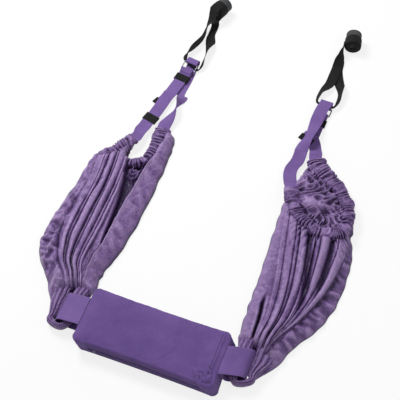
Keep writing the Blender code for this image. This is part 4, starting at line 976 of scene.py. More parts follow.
# Legs of the straps from the hem's fold: (x, y, height, azimuth, roll, share of width)
OUTER = {
    "left": [
        (-0.0240, 0.0002, 0.0121, -6, 0, 1.0),
        (-0.0208, 0.0130, 0.0121, -13, 0, 1.0),
        (-0.0172, 0.0280, 0.0121, -14, 0, 1.0),
        (-0.0142, 0.0420, 0.0120, -11, 0, 1.0),
        (-0.0095, 0.0800, 0.0100, -7, 0, 1.0),
        (-0.0060, 0.1150, 0.0085, -7, 0, 1.0),
    ],
    "right": [
        (0.0260, 0.0002, 0.0149, 0, 0, 1.0),
        (0.0235, 0.0120, 0.0130, 5, 0, 1.0),
        (0.0180, 0.0280, 0.0045, 12, 0, 0.96),
        (0.0080, 0.0500, 0.0027, 12, 0, 1.0),
    ],
}
INNER = {
    "left": [
        (0.0300, 0.0002, 0.0121, 0, 0, 1.0),
        (0.0300, 0.0140, 0.0121, 0, 0, 1.0),
        (0.0330, 0.0350, 0.0126, 0, 20, 1.0),
        (0.0360, 0.0580, 0.0150, 0, 45, 0.90),
        (0.0370, 0.0800, 0.0170, 0, 75, 0.80),
        (0.0365, 0.0960, 0.0170, 0, 98, 0.78),
        (0.0370, 0.1120, 0.0150, 0, 128, 0.80),
        (0.0385, 0.1280, 0.0070, 0, 160, 0.84),
        (0.0354, 0.1395, 0.0015, 0, 178, 0.92),
    ],
    "right": [
        (-0.0180, 0.0002, 0.0149, 0, 0, 1.0),
        (-0.0172, 0.0120, 0.0155, 0, 10, 1.0),
        (-0.0150, 0.0280, 0.0200, 0, 24, 0.96),
        (-0.0115, 0.0460, 0.0230, 0, 34, 0.92),
        (-0.0080, 0.0680, 0.0235, 0, 30, 0.92),
        (-0.0070, 0.0950, 0.0195, 0, 18, 0.96),
    ],
}
TAIL = {
    "left": [
        (-0.0050, 0.1330, 0.0042, -14, 0, 1.0),
        (-0.0210, 0.0850, 0.0024, -22, 0, 1.0),
    ],
    "right": [(-0.0200, 0.0460, 0.0070, -20, 0, 1.0)],
}
# Stops along the straps, ahead of the ring's top bar: on the tail leg's straight run,
# and on the bight leg's way to the ring, with how far that one lies to the right
TAIL_END = 0.030
STRAIGHT_RUN = {
    "left": (-0.126, -0.119, -0.095, -0.072, -0.046),
    "right": (-0.113, -0.105, -0.085, -0.066, -0.046),
}
BACK_SHIFT = {"left": (0.021, 0.014, 0.007, 0.002), "right": (-0.006, -0.005, -0.001)}
BACK_STOPS = {"left": (-0.112, -0.058, -0.020, 0.002), "right": (-0.058, -0.020, 0.002)}


def wide(table):
    rows = np.array(table, float)
    rows[:, 5] *= WEBBING_WIDTH
    return rows


def strap_rows(side):
    """Rows of the two legs: one round the ring's bottom bar, one through the bight."""
    head = HEADS[side.name]
    face = head.face
    ahead, height = head.bottom_bar()
    under = height - head.wrap
    over = height + RING_HEIGHT * math.sin(math.radians(RING_TIP)) + CLEARANCE / 2 + head.wrap
    near, far = (over, under) if face > 0 else (under, over)
    tail_height = head.back + STRAP_LAYER + KEEPER_CLOTH + CLEARANCE
    if face < 0:
        tail_height = 2 * CLEARANCE + KEEPER_CLOTH + WEBBING / 2 + STRAP_LAYER
    leg_height = tail_height + face * STRAP_LAYER
    straight = STRAIGHT_RUN[side.name]
    run = [head.row(0, q, leg_height, 0) for q in straight]
    run.append(head.row(0, -0.0385, leg_height * 0.45 + near * 0.55, 0))
    run += head.arc(ahead, (over + under) / 2, (over - under) / 2, 90 * face, -90 * face, 0)
    run.append(head.row(0, -0.0385, tail_height * 0.6 + far * 0.4, 0))
    run += [head.row(0, q, tail_height, 0) for q in (*straight[:0:-1], straight[0] + 0.004)]
    tail = wide(TAIL[side.name])
    turn = math.radians(tail[-1][3])
    before = tail[-1].copy()
    before[:2] += np.array((-math.sin(turn), math.cos(turn))) * TAIL_END
    tail_leg = [*wide(OUTER[side.name]), *run, *tail[:-1], before, tail[-1]]

    back = [head.back] * 4 if face > 0 else [0.0155, 0.0168, head.back]
    roll = 180 if face > 0 else 0
    run = [
        head.row(s, q, z, roll)
        for s, q, z in zip(BACK_SHIFT[side.name], BACK_STOPS[side.name], back)
    ]
    middle = (head.back + head.front) / 2
    run += head.arc(0.012, middle, abs(head.front - head.back) / 2, -90 * face, 90 * face, roll, 12)
    run += head.arc(0.0, head.bar, head.wrap, 90 * face, 270 * face, roll)
    run.append(head.row(0, 0.010, head.tuck, roll))
    return np.array(tail_leg), np.array([*wide(INNER[side.name]), *run]), leg_height, tail_height


def slot_mesh(name, centre, across, along, half_height, length, thickness):
    """A sewn loop of webbing round a flat strap: a slot with round ends, as wide as length."""
    up = unit(np.cross(across, along))
    turn = np.linspace(-math.pi / 2, math.pi / 2, 9)
    side = WEBBING_WIDTH / 2 + half_height * np.cos(turn)
    lift = half_height * np.sin(turn)
    side, lift = np.concatenate([side, -side]), np.concatenate([lift, -lift])
    path = centre + side[:, None] * across + lift[:, None] * up
    path = catmull(path, 3, True)
    sides = np.tile(along, (len(path), 1))
    return webbing_mesh(name, path, sides, np.full(len(path), length), thickness, True)


# Hems: (out, share of reach, up, width, height, webbing width, webbing tilt)
HEM = {
    "left": [
        (0.0635, 0.886, 0.0215, 0.042, 0.022, 0.036, 0),
        (0.0790, 0.842, 0.0220, 0.036, 0.026, 0.028, 12),
        (0.1040, 0.791, 0.0210, 0.030, 0.026, 0.022, 30),
        (0.1330, 0.750, 0.0150, 0.024, 0.020, 0.015, 50),
        (0.1180, 0.728, 0.0095, 0.016, 0.014, 0.010, 60),
        (0.0850, 0.738, 0.0095, 0.016, 0.014, 0.010, 60),
        (0.0430, 0.760, 0.0130, 0.026, 0.022, 0.014, 75),
        (0.0140, 0.780, 0.0160, 0.030, 0.028, 0.016, 90),
        (-0.0020, 0.815, 0.0170, 0.032, 0.030, 0.018, 85),
        (-0.0050, 0.868, 0.0175, 0.036, 0.030, 0.022, 50),
        (-0.0050, 0.935, 0.0165, 0.044, 0.026, 0.028, 18),
        (-0.0030, 0.988, 0.0135, 0.052, 0.018, 0.038, 0),
    ],
    "right": [
        (-0.0400, 0.797, 0.0270, 0.0460, 0.0170, 0.0380, 0),
        (-0.0250, 0.748, 0.0280, 0.0440, 0.0280, 0.0260, 25),
        (-0.0060, 0.700, 0.0290, 0.0380, 0.0320, 0.0200, 60),
        (0.0220, 0.659, 0.0290, 0.0360, 0.0330, 0.0200, 90),
        (0.0600, 0.636, 0.0285, 0.0360, 0.0330, 0.0200, 90),
        (0.1000, 0.636, 0.0280, 0.0360, 0.0320, 0.0200, 90),
        (0.1320, 0.667, 0.0270, 0.0360, 0.0320, 0.0200, 90),
        (0.1400, 0.724, 0.0265, 0.0370, 0.0320, 0.0200, 90),
        (0.1220, 0.792, 0.0260, 0.0400, 0.0320, 0.0200, 90),
        (0.0860, 0.860, 0.0250, 0.042, 0.032, 0.022, 70),
        (0.0400, 0.902, 0.0240, 0.052, 0.030, 0.023, 35),
        (0.0110, 0.936, 0.0215, 0.056, 0.026, 0.029, 10),
        (-0.0020, 0.968, 0.0190, 0.056, 0.022, 0.038, 0),
    ],
}
# How the hem's webbing reaches the fold: (x, y, height, azimuth)
LEAD = {
    "left": [
        (-0.0240, -0.0002, 0.0121, 174),
        (-0.0258, -0.0170, 0.0140, 168),
        (-0.0290, -0.0350, 0.0175, 163),
    ],
    "right": [
        (-0.0180, -0.0002, 0.0149, 180),
        (-0.0170, -0.0150, 0.0138, 176),
        (-0.0180, -0.0380, 0.0120, 178),
        (-0.0255, -0.0650, 0.0120, 186),
        (-0.0235, -0.0920, 0.0150, 196),
        (-0.0130, -0.1220, 0.0215, 203),
    ],
}
EXIT = {
    "left": [(0.0300, -0.0002, 0.0121, 0)],
    "right": [(0.0290, -0.0100, 0.0160, 18), (0.0260, -0.0002, 0.0149, 0)],
}


def hem_line(side, steps):
    """The hem's middle line with its side and up vectors, and its rows, in the frame."""
    table = np.array(HEM[side.name], float)
    table[:, 1] *= side.reach
    rows = catmull(table, steps)
    centre = rows[:, :3].copy()
    centre[:, 0] *= side.sign
    along = tangents(centre)
    across = unit(np.cross(along, (0.0, 0.0, 1.0)))
    return centre + (side.pivot[0], side.pivot[1], 0.0), across, np.cross(across, along), rows


def hem_webbing(side):
    """The webbing in the hem, with the lengths that come out of its two mouths."""
    centre, across, up, rows = hem_line(side, 12)
    tilt = np.radians(rows[:, 6])[:, None]
    body = np.hstack([centre, across * np.cos(tilt) + up * np.sin(tilt), rows[:, 5:6]])

    def outside(table):
        found = []
        for x, y, z, azimuth in table:
            a = math.radians(azimuth)
            spot = [side.fold[0] + x, side.fold[1] + y, z]
            found.append([*spot, math.cos(a), math.sin(a), 0, WEBBING_WIDTH])
        return np.array(found)

    lead, leave = outside(LEAD[side.name]), outside(EXIT[side.name])
    ends = []
    for mouth, inner, nearest in ((0, 12, lead[-1]), (-1, -13, leave[0])):
        row = body[mouth].copy()
        step = min(0.014, 0.4 * np.linalg.norm(nearest[:3] - row[:3]))
        row[:3] += unit(row[:3] - body[inner][:3]) * step
        ends.append(row)
    first = catmull(np.vstack([lead, ends[:1]]), 12)
    last = catmull(np.vstack([ends[1:], leave]), 12)
    whole = np.vstack([first, body, last])
    return whole[:, :3], whole[:, 3:6], whole[:, 6]


def gathers(distance, seed, pitch):
    """Phase of the gathers along the hem: steady pleats that crowd and spread at random."""
    drift = 0.95 * ripple(distance, 0 * distance, seed, 0.050)
    return 2 * math.pi * (distance / pitch + drift)


HEM_PITCH = 0.0108


def hem_mesh(side):
    """The ruched tunnel: an oval tube whose radius falls into narrow pleats round it.

    radius = oval * (1 - pleat depth * narrow valley(phase) + slow swelling), and the
    phase leans with the angle round the tube. At both mouths it turns in to a slot.
    """
    centre, across, up, rows = hem_line(side, 42)
    distance = lengths(centre)
    turn = circle(44)
    c, s = np.cos(turn), np.sin(turn)
    ring = oval(turn, 0.9)
    d = distance[:, None] + 0 * turn[None]
    lean = 1.5 * np.sin(turn[None] + 35 * d) + 0.9 * np.sin(2 * turn[None] - 60 * d)
    phase = gathers(d, 21 + side.sign, HEM_PITCH) + lean
    depth = np.clip(0.62 + 0.55 * ripple(d, turn[None] * 0.014, 33 + side.sign, 0.030), 0.05, 1.2)
    valley = wave(phase) ** 2.0 * depth
    small = wave(phase * 2.3 + 1.3 * np.sin(turn[None] * 3)) ** 3 * (1.2 - depth)
    crumpled = creases(d, turn[None] * 0.012, 35 + side.sign, 0.020)
    swell = ripple(d, turn[None] * 0.012, 31 + side.sign, 0.040)
    half_w, half_h = rows[:, 3:4] / 2, rows[:, 4:5] / 2
    limit = np.clip(half_h / 0.014, 0.3, 1.0)
    fall = (0.0066 * valley + 0.0030 * small - 0.0026 * swell - 0.0024 * crumpled) * limit
    w = (half_w - fall) * ring[None, :, 0]
    h = (half_h - fall * 0.8) * ring[None, :, 1]
    sway = 0.0013 * ripple(distance, 0 * distance, 41 + side.sign, 0.05)[:, None]
    points = centre[:, None] + across[:, None] * (w + sway)[..., None] + up[:, None] * h[..., None]
    share = np.array([0.12, 0.45, 0.8, 1.0])[:, None, None]
    ease = np.array([0.0012, 0.0010, -0.0010, -0.0060])[:, None, None]
    lips = []
    for end, inner in ((0, 1), (-1, -2)):
        way = unit(centre[end] - centre[inner])
        tilt = math.radians(rows[end, 6])
        flat = across[end] * math.cos(tilt) + up[end] * math.sin(tilt)
        thin = up[end] * math.cos(tilt) - across[end] * math.sin(tilt)
        slot = centre[end] + flat * c[:, None] * (rows[end, 5] / 2 + 0.001)
        slot = slot + thin * s[:, None] * 0.0016
        lips.append(points[end][None] * (1 - share) + slot[None] * share + way * ease)
    points = np.concatenate([lips[0][::-1], points, lips[1]])
    points[..., 2] = np.maximum(points[..., 2], 0.0004)
    # Painted shade in the pleats' valleys and painted highlight on the creased ridges between them,
    # for the valley attribute.
    shade = 1.5 * valley + 0.5 * small - 0.75 * crumpled * (1 - valley) - 0.05
    shade = np.pad(shade, ((4, 4), (0, 0)), mode="edge")
    uv = wall_uv(points, False, True)
    return grid_mesh("hem", points, (False, True), uv, (True, True), valley=shade)


# Sling cloth: (outer out, outer share, inner out, inner share) of the reach
CLOTH = {
    "left": [
        (0.046, -0.030, -0.010, 0.060),
        (0.080, 0.050, -0.031, 0.112),
        (0.113, 0.122, -0.031, 0.162),
        (0.150, 0.186, -0.031, 0.206),
        (0.169, 0.248, -0.042, 0.280),
        (0.174, 0.305, -0.051, 0.342),
        (0.171, 0.442, -0.058, 0.474),
        (0.163, 0.566, -0.060, 0.612),
        (0.160, 0.650, -0.059, 0.738),
        (0.157, 0.722, -0.057, 0.830),
        (0.146, 0.758, -0.054, 0.907),
        (0.106, 0.803, -0.048, 0.961),
        (0.064, 0.870, -0.032, 0.984),
    ],
    "right": [
        (0.040, -0.038, -0.010, 0.023),
        (0.088, 0.051, -0.028, 0.094),
        (0.113, 0.141, -0.032, 0.135),
        (0.153, 0.235, -0.035, 0.208),
        (0.176, 0.328, -0.037, 0.288),
        (0.185, 0.416, -0.038, 0.379),
        (0.186, 0.510, -0.042, 0.481),
        (0.182, 0.589, -0.045, 0.581),
        (0.164, 0.671, -0.047, 0.685),
        (0.160, 0.724, -0.046, 0.764),
        (0.130, 0.819, -0.030, 0.844),
        (0.090, 0.883, -0.026, 0.903),
        (0.034, 0.962, -0.018, 0.968),
    ],
}
# Folds between the band and the hem: the two shares along at which the valleys are
# given, the valleys' shares across at each, and the height of each fold between them
FOLDS = {
    "left": (
        (0.10, 0.80),
        (0.38, 0.45, 0.48, 0.55, 0.585, 0.655, 0.69, 0.735),
        (0.06, 0.185, 0.235, 0.335, 0.37, 0.455, 0.49, 0.54),
        (0.0080, 0.0045, 0.0120, 0.0060, 0.0125, 0.0060, 0.0090),
    ),
    "right": (
        (0.27, 0.65),
        (0.26, 0.30, 0.325, 0.37, 0.395, 0.43, 0.52, 0.56, 0.66, 0.735),
        (0.035, 0.17, 0.27, 0.41, 0.49, 0.585, 0.70, 0.755, 0.87, 0.935),
        (0.0090, 0.0060, 0.0130, 0.0065, 0.0130, 0.0125, 0.0050, 0.0110, 0.0060),
    ),
}
# The left's smooth inner strip and its pocket: (share along, strip's edge, pocket's edge)
STRIP = (
    (0.00, 0.730, 0.760),
    (0.09, 0.735, 0.765),
    (0.26, 0.790, 0.810),
    (0.40, 0.770, 0.765),
    (0.46, 0.760, 0.715),
    (0.56, 0.752, 0.650),
    (0.68, 0.780, 0.540),
    (0.76, 0.812, 0.500),
    (1.00, 0.850, 0.500),
)
# The gap between the left hem's mouths, from the sling's pivot: (out, along)
GAP = [
    (0.056, 0.600),
    (0.060, 0.572),
    (0.0545, 0.510),
    (0.020, 0.512),
    (0.003, 0.530),
    (0.003, 0.700),
    (0.056, 0.700),
]
CLOTH_EDGE = 0.0045


def folds(s, t, stations, near, far, heights, seed):
    """Folds side by side: each rises to a ridge off its middle and falls to a valley.

    A valley's share across runs straight from its value near the band to the one
    near the hem, with a slow sway, and each fold swells and shrinks along its length.
    """
    rng = np.random.default_rng(seed)
    share = np.clip((t - stations[0]) / (stations[1] - stations[0]), -0.45, 1.5)
    total = np.zeros_like(s)
    sway = 0.010 * ripple(t * 0.5, s * 0.16, seed, 0.16)
    for k, rise in enumerate(heights):
        low = near[k] + (far[k] - near[k]) * share
        high = near[k + 1] + (far[k + 1] - near[k + 1]) * share
        peak, pitch, phase = rng.uniform(0, 1, 3)
        peak = 0.16 + 0.14 * peak if k % 3 == 1 else 0.66 + 0.18 * peak
        u = np.clip((s + sway - low) / (high - low), 0.0, 1.0)
        slope = np.minimum(u / peak, (1 - u) / (1 - peak))
        swell = 0.80 + 0.30 * np.sin(2 * math.pi * (t * (0.8 + 1.4 * pitch) + phase))
        total += rise * swell * (1 - (1 - slope) ** 2.4)
    return total


def drapes(s, t, stations, near, far, seed, size, stretch):
    """Finer folds: sharp creases drawn out along the fan, so they merge and end."""
    share = np.clip((t - stations[0]) / (stations[1] - stations[0]), -0.2, 1.3)
    first = near[0] + (far[0] - near[0]) * share
    last = near[-1] + (far[-1] - near[-1]) * share
    across = 0.20 * (s - first) / (last - first)
    return crumples(across, 0.6 * t / stretch, seed, size, (-0.12, 0.12), 5)


def edge_distance(border, x, y):
    """Distance from each point to the nearest side of a closed border."""
    best = np.full(x.shape, 1e9)
    for (x0, y0), (x1, y1) in zip(border, np.roll(border, -1, 0)):
        run = (x1 - x0) ** 2 + (y1 - y0) ** 2
        along = np.clip(((x - x0) * (x1 - x0) + (y - y0) * (y1 - y0)) / run, 0, 1)
        best = np.minimum(best, np.hypot(x - x0 - along * (x1 - x0), y - y0 - along * (y1 - y0)))
    return best


def nearest_on(path, x, y):
    """For each point: the distance to a path in plan, and its place along the path."""
    flat = np.stack([x.ravel(), y.ravel()], 1)
    best = np.full(len(flat), 1e9)
    index = np.zeros(len(flat), int)
    for k, spot in enumerate(path[:, :2]):
        gap = ((flat - spot) ** 2).sum(1)
        closer = gap < best
        best = np.where(closer, gap, best)
        index = np.where(closer, k, index)
    return np.sqrt(best).reshape(x.shape), index.reshape(x.shape)


def inside(border, x, y):
    """Which points lie in a closed border, by counting the sides to their right."""
    found = np.zeros(x.shape, bool)
    for (x0, y0), (x1, y1) in zip(border, np.roll(border, -1, 0)):
        if y0 == y1:
            continue
        crossing = x0 + (y - y0) * (x1 - x0) / (y1 - y0)
        found ^= ((y0 > y) != (y1 > y)) & (x < crossing)
    return found


class Spot:
    """A round place in a cloth's plan, which fades out at its radius."""

    def __init__(self, x, y, radius):
        self.x, self.y, self.radius = x, y, radius

    def away(self, x, y):
        return np.hypot(x - self.x, y - self.y)

    def near(self, x, y):
        return bell(self.away(x, y), 0.0, self.radius)

    def whorl(self, x, y):
        """Two rolled edges that wind round the place, between 0 and 1."""
        return wave(self.away(x, y) * 420 + 2.0 * np.arctan2(y - self.y, x - self.x))


BULGE = Spot(0.257, 0.536, 0.025)
SWIRL = Spot(0.354, 0.514, 0.032)
PINCH = Spot(0.304, 0.520, 0.012)
CURL = Spot(-0.2475, 0.4700, 0.018)


def soft_edges(s):
    """1 across a sheet, falling steeply to 0 at both of its edges."""
    return np.sqrt(np.maximum(1 - np.abs(2 * s - 1) ** 6, 0.0))


def left_heights(s, t, x, y):
    """The left sling's folds, its crumples and the painted shade of its pocket.

    A crumpled outer panel, a fan of folds, the pocket and a smooth inner strip.
    """
    round_edges = soft_edges(s)
    base = np.interp(t, (0.0, 0.35, 0.7, 1.0), (0.024, 0.020, 0.023, 0.024))
    stations, near, far = FOLDS["left"][:3]
    fan = folds(s, t, *FOLDS["left"], 5)
    fan += 0.0044 * drapes(s, t, stations, near, far, 9, 0.060, 3) * ramp(fan, 0.0, 0.002)
    valley = np.interp(t, stations, (near[0], far[0]))
    panel = 1 - ramp(s, valley - 0.05, valley + 0.03)
    height = (base * (0.45 + 0.55 * ramp(s, 0.0, 0.34)) + fan) * round_edges
    crumple = 0.0170 * crumples(x, y, 61, 0.052, (-0.5, 0.4))
    crumple = crumple + 0.0080 * crumples(x, y, 62, 0.032, (0.2, 1.6))
    low = ramp(t, 0.16, 0.26) * (1 - ramp(t, 0.42, 0.54)) * (1 - ramp(s, 0.16, 0.34))
    crumple = crumple + 0.0130 * crumples(x * 0.6, y, 64, 0.026, (1.25, 1.9)) * low
    crumple = crumple * (0.25 + 0.75 * panel)

    station, edge, pocket = np.array(STRIP).T
    edge = np.interp(t, station, edge) + 0.004 * ripple(t, 0 * t, 65, 0.2)
    pocket = np.interp(t, station, pocket)
    share = np.clip((s - edge) / (1 - edge), 0.0, 1.0)
    strip = (0.0290 - 0.0150 * share + 0.0034 * bell(share, 0.05, 0.06)) * round_edges
    light = 0.0062 * crumples(x, y, 66, 0.050, (0.2, 1.4)) + 0.0004 * ripple(x, y, 67, 0.02)
    floor = 0.0045 + 0.0110 * creases(x, y, 68, 0.040) * ramp(t, 0.55, 0.70)
    floor = floor + (0.0020 + 0.0090 * CURL.whorl(x, y)) * CURL.near(x, y)
    deep = ramp(s, pocket - 0.030, pocket + 0.020) * (1 - ramp(s, edge - 0.010, edge))
    deep = deep * ramp(t, 0.30, 0.46)
    height = height * (1 - deep) + np.minimum(height, floor) * deep
    lies = ramp(s, edge - 0.005, edge + 0.002)
    crumple = crumple * (1 - deep) * (1 - lies) + light * lies
    height = height * (1 - lies) + strip * lies
    # The third value is the pocket's painted shade, weaker over the curl.
    return height, crumple * round_edges, deep * (1 - 0.55 * CURL.near(x, y))


def right_heights(s, t, x, y):
    """The right sling's folds, its crumples and the painted shade of its hollows.

    A smooth inner panel with a slit, deep folds that curve down, and an outer strip.
    """
    round_edges = soft_edges(s)
    base = np.interp(t, (0.0, 0.35, 0.7, 1.0), (0.022, 0.023, 0.027, 0.018))
    stations, near, far = FOLDS["right"][:3]
    fan = folds(s, t, *FOLDS["right"], 15)
    fan += 0.0042 * drapes(s, t, stations, near, far, 19, 0.070, 3) * ramp(fan, 0.0, 0.002)
    panel = np.interp(t, stations, (near[-2], far[-2]))
    panel = ramp(s, panel - 0.02, panel + 0.03)
    border = np.interp(t, (0.0, *stations), (0.34, near[0], far[0]))
    strip = 1 - ramp(s, border - 0.03, border + 0.01)
    base = base * (0.50 + 0.50 * ramp(s, 0.0, 0.30)) - 0.0060 * strip * ramp(t, 0.1, 0.3)
    dark = np.interp(t, (0.25, 0.58), (0.40, 0.585))
    first = bell(s, dark - 0.055, 0.048) * ramp(t, 0.24, 0.40) * (1 - ramp(t, 0.60, 0.70))
    second = bell(s, 0.45 * border + 0.55 * (dark - 0.16), 0.042)
    second = second * ramp(t, 0.30, 0.46) * (1 - ramp(t, 0.62, 0.68))
    slit = ramp(t, 0.08, 0.17) * (1 - ramp(t, 0.27, 0.36))
    line = np.interp(t, (0.142, 0.299), (0.735, 0.83))
    third = bell(s, line, 0.022) * slit
    fall = 0.0190 * first + 0.0150 * second + 0.0190 * third
    crumple = 0.0110 * crumples(x, y, 71, 0.044, (0.9, 2.0)) * strip
    crumple += 0.0042 * crumples(x, y, 72, 0.060, (0.0, 1.0)) * (1 - strip)
    crumple += 0.0004 * ripple(x, y, 73, 0.02)
    height = (base + fan * (1 - 0.7 * strip) * (1 - 0.6 * panel) - fall) * round_edges
    # Painted shade in the hollows that the three falls make.
    deep = np.clip(first + 0.8 * second + third, 0.0, 1.0)
    return np.maximum(height, 0.0030 * round_edges), crumple * round_edges, 0.8 * deep


def rosette(x, y, gap, distance):
    """The crumpled heap inside the right hem: gathers that run in from the hem and curl.

    The gathers keep the phase of the nearest place on the hem, so they cross it and
    bend, and two round swellings of smooth cloth push up between them.
    """
    drawn = wave(gathers(distance, 22, 0.0150) + 60 * gap) ** 1.5
    curls = creases(x + 0.02 * np.sin(y * 60), y, 74, 0.034)
    smooth_one = BULGE.near(x, y)
    curl_one = SWIRL.near(x, y)
    height = 0.0300 - 0.0100 * drawn * np.exp(-gap / 0.030) + 0.0110 * (curls - 0.45)
    height = height * (1 - smooth_one) + 0.0430 * smooth_one
    height = height * (1 - 0.7 * curl_one) + (0.0330 - 0.0090 * SWIRL.whorl(x, y)) * 0.7 * curl_one
    return height - 0.0120 * PINCH.near(x, y)


# The cloth's grid: columns on top and underneath, the share of the underside that each
# selvage's flap takes, rows to a span of the table, and the strand's reach from the pivot
COLUMNS = 250
UNDERSIDE = 30
FLAP = 0.36
CLOTH_STEPS = 24
STRAND_REACH = 0.0470


def cloth_mesh(side):
    """The sling's gathered body: a heap of folds, with its selvages tucked under it.

    The top is a grid of share across by share along, lifted by its side's heights.
    Along the hem it is tucked down to the ruched tunnel, in pleats that follow it.
    """
    rows = catmull(CLOTH[side.name], CLOTH_STEPS)
    across = np.linspace(0.0, 1.0, COLUMNS)
    s, t = np.meshgrid(across, np.linspace(0.0, 1.0, len(rows)))
    out = rows[:, 0:1] * (1 - s) + rows[:, 2:3] * s
    along = (rows[:, 1:2] * (1 - s) + rows[:, 3:4] * s) * side.reach
    edges = ramp(s, 0.90, 1.0) - (1 - ramp(s, 0.0, 0.10))
    out = out - 0.0018 * ripple(t * 0.6, s * 0.05, 51 + side.sign, 0.045) * edges
    x = side.pivot[0] + side.sign * out
    y = side.pivot[1] + along
    round_edges = soft_edges(s)
    height, crumple, deep = (left_heights if side is LEFT else right_heights)(s, t, x, y)

    centre, *_, hem = hem_line(side, CLOTH_STEPS)
    gap, index = nearest_on(centre, x, y)
    girth = (hem[:, 3] / 2)[index]
    level = (centre[:, 2] + 0.05 * hem[:, 4])[index]
    distance = lengths(centre)[index]
    pleat = wave(gathers(distance, 21 + side.sign, HEM_PITCH)) ** 1.6
    if side is LEFT:
        row = index / CLOTH_STEPS
        hidden = ramp(row, 2.5, 3.2) * (1 - ramp(row, 5.9, 6.5))
        border = np.array(GAP) * (side.sign, 1) + side.pivot[:2]
        opened = inside(border, x, y)
        brink = np.where(opened, 0.0, edge_distance(border, x, y))
        height = height * (0.25 + 0.75 * ramp(brink, 0.0, 0.012))
    else:
        hidden = 0.0
        ring = np.concatenate([centre[:, :2], centre[:1, :2]])
        within = inside(ring, x, y) * ramp(gap, 0.3 * girth, 1.2 * girth)
        height = height * (1 - within) + rosette(x, y, gap, distance) * within
        crumple = crumple * (1 - within)
        deep = deep * (1 - within)
    tuck = ramp(gap, 0.35 * girth, 1.5 * girth)
    tuck = tuck + (1 - tuck) * hidden
    height = height * tuck + np.minimum(height, level) * (1 - tuck)
    fan = np.exp(-np.maximum(gap - 0.7 * girth, 0) / 0.034) * ramp(gap, 0.3 * girth, 0.8 * girth)
    smooth_side = 1.0 - 0.75 * ramp(s, 0.66, 0.80)
    if side is RIGHT:
        smooth_side = smooth_side * (1 - 0.92 * BULGE.near(x, y)) * (1 - 0.6 * SWIRL.near(x, y))
    height = height - 0.0075 * pleat * fan * round_edges * (1 - hidden) * smooth_side

    from_pivot = np.hypot(x - side.pivot[0], y - side.pivot[1])
    height = height * ramp(from_pivot, 0.050, 0.086)
    fade = ramp(from_pivot, 0.054, 0.098) * (0.2 + 0.8 * tuck)
    z = np.maximum(height, 0.0006) + CLOTH_EDGE * (1 - 0.85 * (np.abs(2 * s - 1) ** 24))
    # The valley attribute: painted shade in hollows and painted highlight on ridges, from the
    # height's difference to its local means, with the pocket's or hollows' painted shade added.
    valley = 0.75 * (blurred(z, 6) - z) / 0.0034 + 0.45 * (blurred(z, 20) - z) / 0.0080 + 1.1 * deep
    z = z + crumple * fade
    # Painted shade in the crumples' creases and painted highlight on their ridges.
    valley = valley + np.clip(0.45 * (blurred(crumple, 4) - crumple) / 0.0016, -0.7, 0.45)

    share = np.linspace(1.0, 0.0, UNDERSIDE + 2)[1:-1]
    bx = x[:, -1:] * share + x[:, :1] * (1 - share)
    by = y[:, -1:] * share + y[:, :1] * (1 - share)
    bz = 0.0006 + 0.0008 * (1 - np.cos(by * 260 + bx * 140))
    pairs = ((x, bx), (y, by), (z, bz))
    points = np.stack([np.concatenate(pair, 1) for pair in pairs], -1)
    valley = np.concatenate([valley, 0 * bx], 1)
    middle = (points[:-1] + points[1:]) / 2
    middle = (middle + np.roll(middle, -1, 1)) / 2
    mx, my = middle[..., 0], middle[..., 1]
    keep = np.hypot(mx - side.pivot[0], my - side.pivot[1]) > STRAND_REACH
    if side is LEFT:
        keep &= ~inside(border, mx, my)
    keep[:, COLUMNS + int(UNDERSIDE * FLAP) : COLUMNS + int(UNDERSIDE * (1 - FLAP))] = False
    uv = wall_uv(points, False, True)
    return grid_mesh("cloth", points, (False, True), uv, keep=keep, valley=valley)


# The sling's turn through the band: (out from seam, along, up, width, height, heading)
BIGHT = [
    (0.037, 0.086, 0.0080, 0.036, 0.012, -90),
    (0.037, 0.066, 0.0150, 0.036, 0.026, -90),
    (0.037, 0.045, 0.0204, 0.036, 0.034, -90),
    (0.037, 0.010, 0.0199, 0.036, 0.033, -90),
    (0.037, -0.022, 0.0184, 0.032, 0.030, -90),
    (0.043, -0.0470, 0.0180, 0.013, 0.031, -25),
    (0.061, -0.0505, 0.0170, 0.013, 0.030, 5),
    (0.0797, -0.0410, 0.0160, 0.0200, 0.029, 48),
    (0.0790, -0.0270, 0.0158, 0.0235, 0.029, 78),
    (0.0850, -0.012, 0.0155, 0.026, 0.028, 90),
    (0.0870, 0.012, 0.0150, 0.030, 0.026, 90),
    (0.0890, 0.052, 0.0135, 0.032, 0.024, 90),
    (0.0900, 0.072, 0.0080, 0.034, 0.012, 90),
]


def bight_mesh(side):
    """The gathered strand: an oval carried round the band, with pleats that run along it."""
    table = np.array(BIGHT)
    outer = table[:, 0] > 0.08
    more = (0.009, 0.024)[side is RIGHT] * np.clip(table[:, 1] / 0.05 + 0.6, 0, 1) * outer
    table[:, 3] += more
    table[:, 0] += more / 2 - 0.0055 * outer
    rows = catmull(table, 22)
    turn = circle(96)
    ring = oval(turn, 0.83)
    heading = np.radians(rows[:, 5])
    way = np.stack([-np.sin(heading), np.cos(heading), 0 * heading], 1)
    distance = lengths(rows[:, :3])[:, None]
    drift = 0.5 * np.sin(distance * 21) + 0.4 * ripple(distance, turn[None] * 0.02, 71, 0.06)
    phase = turn[None] * 9 + drift
    valley = wave(phase) ** 2.4
    second = wave(turn[None] * 17 - drift * 2) ** 2
    narrow = np.minimum(rows[:, 3], rows[:, 4])[:, None] / 0.026
    fall = (0.0030 * valley + 0.0012 * second) * np.clip(narrow, 0.35, 1.0) - 0.0004
    w = (rows[:, 3:4] / 2 - fall) * ring[None, :, 0]
    h = (rows[:, 4:5] / 2 - fall) * ring[None, :, 1]
    local = rows[:, None, :3] + way[:, None] * w[..., None]
    local[..., 2] += h
    x = side.seam[0] + side.sign * local[..., 0]
    y = side.seam[1] + local[..., 1] + local[..., 0] * side.skew
    points = np.stack([x, y, np.maximum(local[..., 2], 0.0006)], -1)
    uv = wall_uv(points, False, True)
    # Painted shade in the pleats' valleys and painted highlight on their tops, for the valley
    # attribute.
    shade = 1.1 * valley + 0.4 * second - 0.40
    return grid_mesh("bight", points, (False, True), uv, (True, True), valley=shade)


